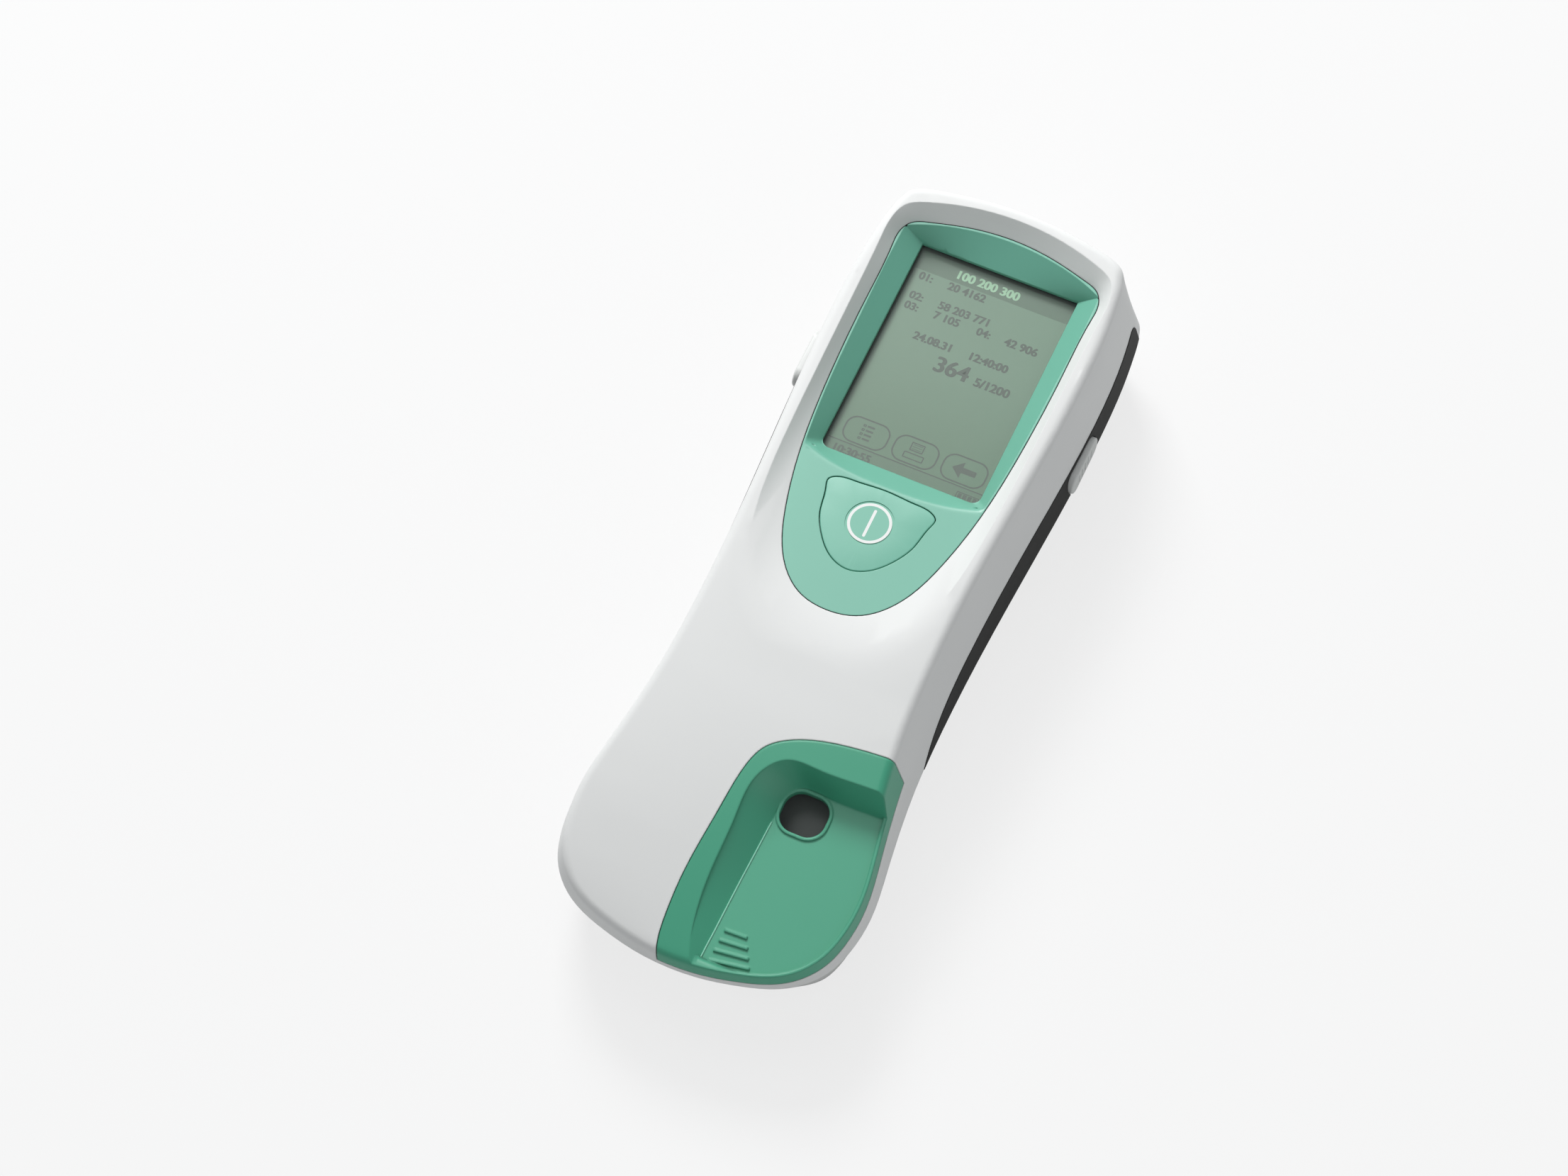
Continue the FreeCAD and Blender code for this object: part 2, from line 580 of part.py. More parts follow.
def make_upper_housing():
    shape = upper_outer.cut(upper_inner)
    shape = shape.fuse(dish(S.shell_wall, recess_floor - S.shell_wall).common(upper_outer))
    for x, y in HOUSING_SCREWS:
        column = rod(S.upper_boss_radius, number(x), number(y), S.parting_level, S.body_top)
        shape = shape.fuse(column.common(upper_outer))
    shape = shape.cut(dish(0.0, S.bezel_level))
    shape = shape.cut(prism(grown(BEZEL, half_seam), recess_floor, S.body_top))
    shape = shape.cut(prism(grown(BEZEL, -S.ledge), S.parting_level, S.body_top))
    shape = shape.cut(cover_column(half_seam, S.parting_level, S.body_top + 5).common(above_floor(-S.cover_skirt)))
    flank = upper_volume(-2.0, False).cut(upper_volume(S.grip_depth, False))
    for sign in (1, -1):
        shape = shape.cut(flank.common(grip_slab(sign)))
    shape = shape.cut(latch_opening()).cut(infrared_column())
    shape = shape.cut(power_bore(S.socket_radius + S.slide_gap, half_length - 20, half_length + 5))
    for x, y in HOUSING_SCREWS:
        bore = rod(S.screw_radius + 0.05, number(x), number(y), S.parting_level - 1, S.parting_level + S.screw_reach)
        shape = shape.cut(bore)
    return shape


sculpted("upper_housing", make_upper_housing())


# --- side grips -----------------------------------------------------------
grip_skin = upper_volume(-0.25, False).cut(upper_volume(S.grip_depth, False))
for side, sign in (("right", 1), ("left", -1)):
    sculpted("side_grip_" + side, grip_skin.common(grip_slab(sign)).cut(latch_opening()))


# --- application cover ----------------------------------------------------
SCOOP_CREASE = [(S.hole_side + dx, dy) for dx, dy in (
    (-10.6, -64.1), (-10.4, -57.6), (-10.0, -45.1), (-9.3, -25.5), (-8.6, -10.0),
    (-8.0, 0.4), (-5.0, 6.7), (4.1, 7.8), (22.6, 8.1), (45.0, 8.3))]
SCOOP_RIM = [(S.hole_side + dx, dy) for dx, dy in (
    (-12.4, -64.1), (-13.5, -57.6), (-16.6, -44.1), (-17.9, -27.1), (-17.8, -12.1),
    (-17.0, 2.4), (-10.4, 10.5), (-0.5, 11.3), (16.0, 11.9), (45.0, 12.3))]
SCOOP_ENDS = (V(0.03, 1, 0), V(1, 0.02, 0))
RIM_DATUM_Y = -70.0  # where the rim stands at rim_at_head


def scoop(margin, low):
    """The thumb recess from its floor up past its rim; margin and low make the volume of its wall."""
    def sloped_wire(points, slope, level):
        edge = grown(points, margin, SCOOP_ENDS)
        curve = half_curve(edge, 0.0, SCOOP_ENDS).toShape()
        corners = [edge[-1], (edge[-1][0], edge[0][1]), edge[0]]
        lines = [Part.LineSegment(V(x0, y0, 0), V(x1, y1, 0)).toShape()
                 for (x0, y0), (x1, y1) in zip(corners, corners[1:])]
        shear = FreeCAD.Matrix()
        shear.A32, shear.A24, shear.A34 = slope, hole_y, level
        return Part.Wire([piece.transformGeometry(shear) for piece in [curve] + lines])
    rim_fall = math.tan(math.radians(S.rim_slope_deg))
    crease = sloped_wire(SCOOP_CREASE, floor_fall, S.floor_at_hole)
    rim = sloped_wire(SCOOP_RIM, rim_fall, S.rim_at_head + (hole_y - RIM_DATUM_Y) * rim_fall)
    shape = Part.makeLoft([crease, rim], True, True)
    shape = shape.fuse(Part.Face(rim).extrude(V(0, 0, 15.0)))
    if low < 0:
        shape = shape.fuse(Part.Face(crease).extrude(V(0, 0, low)))
    return shape


def hole_column(margin, low, high):
    shape = rounded_block(S.hole_width + 2 * margin, S.hole_length + 2 * margin, S.hole_corner + margin,
                          S.hole_side, 0.0, low, high)
    return tilted(shape, S.floor_slope_deg, hole_y, S.floor_at_hole)


def make_application_cover():
    column = cover_column(-half_seam, S.parting_level, S.body_top + 5)
    shape = upper_outer.common(column).common(above_floor(S.slide_gap - S.cover_skirt))
    hollow = upper_volume(S.cover_wall).common(cover_column(-half_seam - S.cover_wall, S.parting_level, S.body_top))
    hollow = hollow.cut(scoop(S.cover_wall, -S.cover_wall))
    relief = upper_volume(S.cover_wall, False).cut(
        cover_column(-half_seam - S.skirt_relief, S.parting_level - 1, S.body_top + 5))
    shape = shape.cut(hollow).cut(relief)
    inner = scoop(0.0, 0.0).common(upper_volume(S.scoop_rim, False))
    over_lip = scoop(0.0, 0.0).common(above_floor(S.scoop_lip))
    shape = shape.cut(inner).cut(over_lip)
    collar = hole_column(1.0, -S.cover_wall / 2, 0.5)
    shape = shape.fuse(collar).cut(hole_column(0.0, -S.cover_wall - 1, 2.0))
    for row in range(4):
        near, tilt = -43.4 - 3.55 * row, 5.0 * (row + 1) / 2
        ridge = block(0, 7.4 + 1.9 * row, -0.5, 0.5, -0.5, 0.5)
        ridge.rotate(V(0, 0, 0), V(0, 0, 1), tilt)
        ridge.translate(V(S.hole_side - 7.2 - 0.25 * row, near, 0))
        shape = shape.fuse(tilted(ridge, S.floor_slope_deg, hole_y, S.floor_at_hole))
    depth = S.shell_wall + S.tongue_drop
    layer = upper_volume(depth, False).cut(upper_volume(depth + 1.6, False))
    for x, y in ((28.0, -57.1), (38.0, -56.1)):
        place = block(x - 2, x + 2, y - 2, y + S.tongue_reach, S.parting_level, S.body_top)
        shape = shape.fuse(layer.common(place))
    return shape


sculpted("application_cover", make_application_cover())


# --- rear housing, battery door -------------------------------------------
bay_end = S.bay_start + S.bay_length
skin_top = S.rear_level + S.shell_wall
rail_in = S.door_half + 0.4
rail_out = rail_in + S.rail_wall


def door_column(margin, z_high):
    return block(-S.door_half - margin, S.door_half + margin, S.door_start - margin, half_length + 5,
                 S.rear_level - 1, z_high + margin)


def ring_column(outset, inset, low, high):
    outline = prism(grown(BODY_PLAN, -outset), low, high)
    return outline.cut(prism(grown(BODY_PLAN, -inset), low - 1, high + 1))


def make_battery_bay():
    shape = block(-rail_out, rail_out, S.bay_start - S.bay_wall, bay_end + S.bay_wall, skin_top,
                  S.bay_roof + S.bay_wall)
    shape = shape.cut(block(-S.bay_half, S.bay_half, S.bay_start, bay_end, skin_top - 1, S.bay_roof))
    for side in both_sides(block(rail_in, rail_out, bay_end, half_length - 16, skin_top - 1, skin_top + 4)):
        shape = shape.fuse(side)
    for wall in both_sides(block(S.bay_half - 1, rail_in, S.door_start, half_length, skin_top - 1, skin_top + 1.6)):
        shape = shape.cut(wall)
    for wall in both_sides(block(rail_out - S.bay_wall, rail_out, S.latch_y - 7, S.latch_y + 7,
                                 S.bay_roof, S.board_level - 1)):
        shape = shape.fuse(wall)
    shape = shape.cut(block(-S.door_half - 0.3, S.door_half + 0.3, S.door_start, half_length, skin_top - 1,
                            skin_top + 0.3))
    return shape.common(rear_outer)


def door_grooves():
    """The two grooves that the door's tongues run in, open through the head wall."""
    return both_sides(block(S.bay_half - 2, rail_in + S.tongue_out, S.door_start, half_length + 5,
                            skin_top, skin_top + 1.6))


def make_rear_housing():
    shape = rear_outer.cut(rear_inner).cut(door_column(S.slide_gap, S.door_end_height))
    lip = ring_column(2.0, 4.3, S.parting_level - 2, S.parting_level - 0.3)
    shape = shape.fuse(lip.common(rear_volume(0.5)))
    shape = shape.fuse(ring_column(3.15, 4.3, S.parting_level - 2, S.parting_level + 2))
    shape = shape.fuse(make_battery_bay())
    for groove in door_grooves():
        shape = shape.cut(groove)
    for x, y in BOARD_POSTS:
        foot = S.bay_roof + 0.5 if number(y) > S.bay_start else skin_top - 0.5
        shape = shape.fuse(rod(S.post_radius, number(x), number(y), foot, S.board_level))
        shape = shape.cut(rod(S.small_screw_radius, number(x), number(y), S.board_level - 5, S.board_level + 1))
    for dx, dy in SENSOR_POSTS:
        y = number(SENSOR_Y) + dy
        shape = shape.fuse(rod(2.5, dx, y, skin_top - 0.5, S.sensor_level))
        shape = shape.cut(rod(S.small_screw_radius, dx, y, skin_top, S.sensor_level + 1))
    for x, y in HOUSING_SCREWS:
        boss = rod(S.boss_radius, number(x), number(y), S.rear_level, S.parting_level)
        shape = shape.fuse(boss.common(rear_outer))
        shape = shape.cut(rod(S.screw_head_radius + 0.2, number(x), number(y), 0, S.screw_seat_level))
        shape = shape.cut(rod(S.screw_radius + 0.15, number(x), number(y), 0, S.parting_level + 1))
    strip_half, bed_half = S.strip_width / 2, number(BED_W) / 2 + S.slide_gap
    shape = shape.cut(block(S.hole_side - strip_half, S.hole_side + strip_half, -half_length - 5, number(BED_Y),
                            S.bed_front_level - 0.1, S.parting_level + 3))
    shape = shape.cut(block(S.hole_side - bed_half, S.hole_side + bed_half, number(BED_Y) - 1.0, number(BED_Y) + 9.0,
                            S.bed_front_level - S.bed_thick - 1, S.parting_level + 3))
    chip_half, gap = S.chip_width / 2, S.slide_gap
    shape = shape.cut(block(-foot_half - 5, -foot_half + 10, S.chip_y - chip_half - gap, S.chip_y + chip_half + gap,
                            S.chip_level - gap, S.chip_level + S.chip_thick + gap))
    shape = shape.cut(latch_opening())
    return shape.cut(power_bore(S.socket_radius + S.slide_gap, half_length - 20, half_length + 5))


sculpted("rear_housing", make_rear_housing())


def make_battery_cover():
    skin = rear_outer.cut(rear_volume(S.shell_wall)).common(door_column(0.0, S.door_end_height))
    for side in both_sides(block(S.door_half - 1.3, S.door_half, S.door_start + 2, half_length - 17,
                                 skin_top - 0.4, skin_top + S.rail_wall / 2 - 0.3)):
        skin = skin.fuse(side)
    for side in both_sides(block(S.door_half - 0.5, S.door_half + S.tongue_out, S.door_start + 2, half_length - 19,
                                 skin_top + S.slide_gap, skin_top + S.slide_gap + S.tongue_thick)):
        skin = skin.fuse(side)
    for rib in range(5):
        y = half_length - 34 + 3.2 * rib
        skin = skin.cut(block(-9, 9, y, y + 1.4, S.rear_level - 1, S.rear_level + 0.6))
    return skin


sculpted("battery_cover", make_battery_cover())


# --- power key ------------------------------------------------------------
symbol_floor = S.bezel_level - S.mark_depth


def make_key_symbol():
    ring = rod(S.ring_radius + S.mark_width / 2, 0, key_y, symbol_floor, S.bezel_level)
    ring = ring.cut(rod(S.ring_radius - S.mark_width / 2, 0, key_y, symbol_floor - 1, S.bezel_level + 1))
    bar = rounded_block(S.mark_width, S.mark_length, S.mark_width * 0.45, 0, key_y, symbol_floor, S.bezel_level)
    return ring.fuse(bar)


def make_power_key():
    cap_low = S.bezel_level - S.bezel_plate - S.slide_gap
    cap = rounded(prism(grown(KEY, -half_seam), cap_low, S.bezel_level), 0.35,
                  lambda e: all(abs(v.Z - S.bezel_level) < 1e-6 for v in e.Vertexes))
    flange = prism(grown(KEY, S.key_flange - half_seam), cap_low - S.flange_thick, cap_low)
    stem_low = S.key_board_level + S.small_board + S.switch_height + 1.2
    shape = cap.fuse(flange).fuse(rod(S.stem_radius, 0, key_y, stem_low, cap_low))
    groove = rod(S.ring_radius + 1.25, 0, key_y, symbol_floor + 0.15, S.bezel_level + 1)
    groove = groove.cut(rod(S.ring_radius + S.mark_width / 2, 0, key_y, symbol_floor, S.bezel_level + 1))
    return shape.cut(make_key_symbol()).cut(groove)


sculpted("power_key", make_power_key())
sculpted("key_symbol", make_key_symbol())


# --- release buttons and their springs ------------------------------------
bay_side = S.bay_half + 0.9 + S.rail_wall
flange_x = head_half - 6.2


def make_latch():
    face = head_half - 0.6 + S.latch_proud
    button = stadium(S.latch_length, S.latch_height, flange_x, face, S.latch_y, S.latch_level)
    button = rounded(button, 0.8, lambda e: all(abs(v.X - face) < 1e-6 for v in e.Vertexes))
    flange = stadium(S.latch_length + 2.4, S.latch_height + 2.2, flange_x, flange_x + 1.2, S.latch_y, S.latch_level)
    for row in range(-2, 3):
        groove = block(face - 0.35, face + 1, S.latch_y - 0.4 + 2.4 * row, S.latch_y + 0.4 + 2.4 * row,
                       S.latch_level - 2.2, S.latch_level + 2.2)
        button = button.cut(groove)
    return button.fuse(flange)


def make_latch_spring():
    """A leaf bowed between the bay's side wall and the button's flange."""
    near, far, gauge = bay_side, flange_x - S.fit_gap, 0.4
    outline = [(near, -9.0), (far, -1.6), (far, 1.6), (near, 9.0), (near, 8.2),
               (far - gauge, 1.4), (far - gauge, -1.4), (near, -8.2)]
    corners = [V(x, S.latch_y + y, S.latch_level - 2.0) for x, y in outline]
    return Part.Face(Part.makePolygon(corners + corners[:1])).extrude(V(0, 0, 4.0))


for piece, shape in (("latch", make_latch()), ("latch_spring", make_latch_spring())):
    for side, solid in zip(("right", "left"), both_sides(shape)):
        sculpted("%s_%s" % (piece, side), solid)


# --- infrared window ------------------------------------------------------
sculpted("infrared_window",
         infrared_column(-S.seam / 2).common(upper_outer).cut(upper_volume(S.shell_wall - 0.6, False)))


# ---------------------------------------------------------------------------
# Display stack
# ---------------------------------------------------------------------------
WINDOW_Y = "(%s + Sizes.window_from_key + Sizes.window_length / 2)" % KEY_Y
GLASS_W, GLASS_L = "(Sizes.window_width + 2 * Sizes.glass_margin)", "(Sizes.window_length + 2 * Sizes.glass_margin)"
GASKET_Z = "(Sizes.window_lip_level - Sizes.window_lip - Sizes.gasket_thick)"
TOUCH_Z = "(%s - Sizes.touch_thick)" % GASKET_Z
PANEL_Z = "(%s - Sizes.panel_thick)" % TOUCH_Z

plate("display_gasket", GLASS_W, GLASS_L, "Sizes.gasket_thick", "0", WINDOW_Y, GASKET_Z,
      windows=[("Sizes.window_width + 1", "Sizes.window_length + 1", "0", "0")])
plate("touch_window", GLASS_W, GLASS_L, "Sizes.touch_thick", "0", WINDOW_Y, TOUCH_Z, corner="1")
plate("lcd_panel", GLASS_W + " - 0.8", GLASS_L + " - 0.8", "Sizes.panel_thick", "0", WINDOW_Y, PANEL_Z)

FRAME_W, FRAME_L = (side + " + 2 * (Sizes.fit_gap + Sizes.frame_wall)" for side in (GLASS_W, GLASS_L))
frame_block = box("lcd_frame_block", FRAME_W, FRAME_L, "%s - %s" % (GASKET_Z, BOARD_TOP),
                  "-(%s) / 2" % FRAME_W, "%s - (%s) / 2" % (WINDOW_Y, FRAME_L), BOARD_TOP, node=False)
frame_pocket = box("lcd_frame_pocket", GLASS_W + " + 2 * Sizes.fit_gap", GLASS_L + " + 2 * Sizes.fit_gap", "20",
                   "-%s / 2 - Sizes.fit_gap" % GLASS_W, "%s - %s / 2 - Sizes.fit_gap" % (WINDOW_Y, GLASS_L),
                   PANEL_Z, node=False)
frame_hole = box("lcd_frame_hole", "Sizes.window_width", "Sizes.window_length", "20",
                 "-Sizes.window_width / 2", "%s - Sizes.window_length / 2" % WINDOW_Y, BOARD_TOP + " - 1", node=False)
cut("lcd_frame", frame_block, [frame_pocket, frame_hole])

box("lcd_flex_cable", "20", "0.3", "%s - %s" % (PANEL_Z, BOARD_TOP), "-10", WINDOW_Y + " - 22", BOARD_TOP)

# ---------------------------------------------------------------------------
# Main board and what it carries
# ---------------------------------------------------------------------------
BOARD_L = "(%s - Sizes.board_head_gap - Sizes.board_foot_end)" % HEAD_END
BOARD_MID = "(Sizes.board_foot_end + %s / 2)" % BOARD_L
plate("main_board", "Sizes.board_width", BOARD_L, "Sizes.board_thick", "0", BOARD_MID, "Sizes.board_level",
      corner="2", holes=[("Sizes.small_screw_radius + 0.2", x, "%s - %s" % (y, BOARD_MID)) for x, y in BOARD_POSTS])

plate("shield_can", "32", "35", "3", "-2", "77.5", "Sizes.board_level - 3", corner="1.2")
cylinder("beeper", "Sizes.beeper_radius", "Sizes.beeper_height", "-20", KEY_Y + " - 6",
         "Sizes.board_level - Sizes.beeper_height")
chips = [box("chip_" + tag, w, l, h, x, KEY_Y + y, BOARD_TOP, node=False) for tag, w, l, h, x, y in (
    ("processor", "14", "14", "1.8", "-17", " - 20"), ("memory", "8", "12", "1.4", "2", " - 19"),
    ("clock", "5", "3.2", "1.2", "4", " - 27"), ("driver", "6", "6", "1", "14", " - 13"))]
group("board_chips", chips)

socket_block = box("power_socket_block", "9", "15", "Sizes.socket_height", "Sizes.socket_side - 4.5",
                   HEAD_END + " - 25.9", "Sizes.board_level - Sizes.socket_height", node=False)
socket_bore = cylinder("power_socket_bore", "Sizes.socket_radius", "12", "Sizes.socket_side", HEAD_END + " - 9",
                       SOCKET_Z, node=False)
socket_bore.Placement.Rotation = FreeCAD.Rotation(V(1, 0, 0), 90)
cut("power_socket", socket_block, [socket_bore])

# ---------------------------------------------------------------------------
# Key board, switch and return mat
# ---------------------------------------------------------------------------
KEY_BOARD_TOP = "(Sizes.key_board_level + Sizes.small_board)"
plate("key_board", "40", "39", "Sizes.small_board", "0", KEY_Y + " - 6.5", "Sizes.key_board_level", corner="2",
      holes=[("Sizes.small_screw_radius + 0.2", str(x), str(dy + 6.5)) for x, dy in KEY_BOARD_POSTS])
switch_base = box("tact_switch_base", "6", "6", "Sizes.switch_height", "-3", KEY_Y + " - 3",
                  KEY_BOARD_TOP, node=False)
switch_nub = cylinder("tact_switch_nub", "1.7", "0.2", "0", KEY_Y,
                      KEY_BOARD_TOP + " + Sizes.switch_height", node=False)
switch = keep(doc.addObject("Part::MultiFuse", "tact_switch"))
switch.Shapes = [switch_base, switch_nub]
mat_disc = cylinder("key_return_mat_disc", "7", "Sizes.mat_height", "0", KEY_Y, KEY_BOARD_TOP, node=False)
mat_hole = cylinder("key_return_mat_hole", "4.6", "Sizes.mat_height + 2", "0", KEY_Y,
                    KEY_BOARD_TOP + " - 1", node=False)
cut("key_return_mat", mat_disc, [mat_hole])
box("key_flex_cable", "0.3", "10", "Sizes.key_board_level - " + BOARD_TOP, "19", KEY_Y + " - 6", BOARD_TOP)

# ---------------------------------------------------------------------------
# Strip channel, heater, optics and sensor board
# ---------------------------------------------------------------------------
SENSOR_TOP = "(Sizes.sensor_level + Sizes.small_board)"
plate("sensor_board", SENSOR_WIDTH, SENSOR_LENGTH, "Sizes.small_board", SENSOR_X, SENSOR_Y, "Sizes.sensor_level",
      corner="1.5", holes=[("Sizes.small_screw_radius + 0.2", "%g - %s" % (dx, SENSOR_X), str(dy))
                           for dx, dy in SENSOR_POSTS])

LENS_Y = "(%s - 12)" % HOLE_Y
BED_SIN, BED_COS = "sin(Sizes.bed_slope_deg * 1 deg)", "cos(Sizes.bed_slope_deg * 1 deg)"


def sloped_box(name, width, length, height, x, along, up):
    """A box turned up with the strip bed; along and up are measured on the bed's own plane."""
    obj = box(name, width, length, height, x, "%s + (%s) * %s - (%s) * %s" % (BED_Y, along, BED_COS, up, BED_SIN),
              "Sizes.bed_front_level + (%s) * %s + (%s) * %s" % (along, BED_SIN, up, BED_COS), node=False)
    obj.Placement.Rotation = FreeCAD.Rotation(V(1, 0, 0), 1)
    obj.setExpression(".Placement.Rotation.Angle", "Sizes.bed_slope_deg * 1 deg")
    return obj


bed_block = sloped_box("strip_bed_block", BED_W, "65", "Sizes.bed_thick + 2", "Sizes.hole_side - %s / 2" % BED_W,
                       "0", "-Sizes.bed_thick")
bed_channel = sloped_box("strip_bed_channel", "Sizes.strip_width + 0.6", "67", "4",
                         "Sizes.hole_side - Sizes.strip_width / 2 - 0.3", "-1", "0")
bed_window = cylinder("strip_bed_window", "4.5", "30", "Sizes.hole_side", LENS_Y, SENSOR_TOP, node=False)
bed = cut("strip_bed", bed_block, [bed_channel, bed_window], node=False)
legs = [box("strip_leg_%d" % i, "3", "5", height, x, HOLE_Y + y, SENSOR_TOP, node=False)
        for i, (x, y, height) in enumerate((
            ("5.5", " - 33", "10.5"), ("31.5", " - 33", "10.5"), ("5.5", " + 9", "19.5"), ("31.5", " + 9", "19.5")))]
guide = keep(doc.addObject("Part::MultiFuse", "strip_guide"))
guide.Shapes = [bed] + legs
heater = sloped_box("heater_plate", "Sizes.strip_width", "17", "Sizes.heater_thick",
                    "Sizes.hole_side - Sizes.strip_width / 2", "7", "-Sizes.bed_thick - Sizes.heater_thick")
keep(heater)
plate("optics_block", "20", "30", "Sizes.optics_height", "Sizes.hole_side", HOLE_Y + " - 4", SENSOR_TOP, corner="2")
cylinder("optics_lens", "Sizes.lens_radius", "Sizes.lens_thick", "Sizes.hole_side", LENS_Y,
         SENSOR_TOP + " + Sizes.optics_height")
sensor_top = number(SENSOR_TOP)
rise, ribbon_y = S.board_level - 1.5, hole_y + 18.0
sculpted("sensor_cable", side_slab([
    (ribbon_y, sensor_top), (ribbon_y, rise - 2.0), (ribbon_y + 2.0, rise), (S.board_foot_end + 3.0, rise),
    (S.board_foot_end + 3.0, S.board_level), (S.board_foot_end + 3.4, S.board_level),
    (S.board_foot_end + 3.4, rise - 0.4), (ribbon_y + 2.2, rise - 0.4), (ribbon_y + 0.4, rise - 2.2),
    (ribbon_y + 0.4, sensor_top)], -16.0, -4.0))

# ---------------------------------------------------------------------------
# Code chip and its socket
# ---------------------------------------------------------------------------
CHIP_LOW = "(Sizes.chip_level - Sizes.fit_gap)"
chip_block = box("code_chip_socket_block", "12", "Sizes.chip_width + 4", "Sizes.chip_thick + 3.6", "-27",
                 "Sizes.chip_y - Sizes.chip_width / 2 - 2", SENSOR_TOP, node=False)
chip_bay = box("code_chip_socket_bay", "10", "Sizes.chip_width + 2 * Sizes.fit_gap",
               "Sizes.chip_thick + 2 * Sizes.fit_gap", "-31", "Sizes.chip_y - Sizes.chip_width / 2 - Sizes.fit_gap",
               CHIP_LOW, node=False)
cut("code_chip_socket", chip_block, [chip_bay])
plate("code_chip", "Sizes.chip_length", "Sizes.chip_width", "Sizes.chip_thick",
      "-Sizes.foot_width / 2 + 4.2 + Sizes.chip_length / 2", "Sizes.chip_y", "Sizes.chip_level", corner="1")

# ---------------------------------------------------------------------------
# Batteries and contacts
# ---------------------------------------------------------------------------
CELL_Y = "(Sizes.bay_start + (Sizes.bay_length - Sizes.cell_length) / 2)"
CELL_Z = "(Sizes.cell_level + Sizes.cell_diameter / 2)"
cells, springs, plates = [], [], []
for index in range(4):
    x = "(%g * Sizes.cell_pitch)" % (index - 1.5)
    can = cylinder("cell_can_%d" % index, "Sizes.cell_diameter / 2", "Sizes.cell_length - 1.6", x,
                   CELL_Y, CELL_Z, node=False)
    nose = cylinder("cell_nose_%d" % index, "2.7", "1.6", x, CELL_Y + " + Sizes.cell_length - 1.6", CELL_Z, node=False)
    spring = doc.addObject("Part::Cone", "contact_spring_%d" % index)
    spring.Radius1, spring.Radius2 = 3.4, 2.0
    bind(spring, Height="(Sizes.bay_length - Sizes.cell_length) / 2 - 0.4", x=x, y="Sizes.bay_start + 0.4", z=CELL_Z)
    button = cylinder("contact_button_%d" % index, "2.2", "(Sizes.bay_length - Sizes.cell_length) / 2 - 0.4", x,
                      CELL_Y + " + Sizes.cell_length", CELL_Z, node=False)
    for obj in (can, nose, spring, button):
        obj.Placement.Rotation = FreeCAD.Rotation(V(1, 0, 0), -90)
    cells += [can, nose]
    springs += [spring, button]
    for tag, y in (("low", "Sizes.bay_start"), ("high", "Sizes.bay_start + Sizes.bay_length - 0.4")):
        plates.append(box("contact_plate_%s_%d" % (tag, index), "9", "0.4", "11", x + " - 4.5", y,
                          CELL_Z + " - 5.5", node=False))
group("battery_cells", cells)
group("battery_contacts", springs + plates)

# ---------------------------------------------------------------------------
# Feet and screws
# ---------------------------------------------------------------------------
feet = [cylinder("foot_%d" % i, "Sizes.foot_pad_radius", "Sizes.rear_level", x, y, "0", node=False)
        for i, (x, y) in enumerate((("35.2", HEAD_END + " - 38.5"), ("-35.2", HEAD_END + " - 38.5"),
                                    ("34", HOLE_Y + " - 19"), ("-34", HOLE_Y + " - 19")))]
group("rubber_feet", feet)


def screw(x, y, seat, reach, head_radius, head_thick, radius, up=True):
    """A screw whose head lies under its seat (or over it), with a cross slot in the head."""
    x, y = number(x), number(y)
    sign = 1 if up else -1
    head = rod(head_radius, x, y, min(seat, seat - sign * head_thick), max(seat, seat - sign * head_thick))
    shank = rod(radius, x, y, min(seat, seat + sign * reach), max(seat, seat + sign * reach))
    face = seat - sign * head_thick
    for w, l in ((head_radius * 1.2, 0.7), (0.7, head_radius * 1.2)):
        head = head.cut(block(x - w / 2, x + w / 2, y - l / 2, y + l / 2, face - 0.6, face + 0.6))
    return head.fuse(shank)


housing_screws = [screw(x, y, S.screw_seat_level, S.parting_level + S.screw_reach - 0.5 - S.screw_seat_level,
                        S.screw_head_radius, S.screw_head_thick, S.screw_radius) for x, y in HOUSING_SCREWS]
sculpted("housing_screws", Part.makeCompound(housing_screws))


def small_screws(name, places, seat, reach, up):
    """Screws through a board into the posts behind it."""
    made = [screw(x, y, seat, reach, 1.9, 1.3, S.small_screw_radius - 0.05, up) for x, y in places]
    return sculpted(name, Part.makeCompound(made))


small_screws("board_screws", BOARD_POSTS, S.board_level + S.board_thick, 5.5, False)
small_screws("sensor_screws", [(str(dx), "%s + %d" % (SENSOR_Y, dy)) for dx, dy in SENSOR_POSTS],
             sensor_top, 4.5, False)
small_screws("key_board_screws", [(str(x), "%s + %d" % (KEY_Y, dy)) for x, dy in KEY_BOARD_POSTS],
             S.key_board_level, 5.0, True)

# ---------------------------------------------------------------------------
# Check every piece, then write one STEP file each
# ---------------------------------------------------------------------------
doc.recompute()
for obj in doc.Objects:
    if "Invalid" in obj.State or "Error" in obj.State:
        raise ValueError("%s is %s" % (obj.Name, obj.State))

os.makedirs("parts", exist_ok=True)
for obj in NODES:
    if obj.Shape.isNull() or not obj.Shape.isValid():
        raise ValueError(obj.Name + " has no valid shape")
    obj.Label = obj.Name
    obj.Shape.exportStep("parts/%s.step" % obj.Name)
    box_now = obj.Shape.optimalBoundingBox()
    print("%-20s %10.1f  x %7.2f %7.2f  y %8.2f %8.2f  z %6.2f %6.2f" % (
        obj.Name, obj.Shape.Volume, box_now.XMin, box_now.XMax, box_now.YMin, box_now.YMax,
        box_now.ZMin, box_now.ZMax))
print(len(NODES), "pieces")
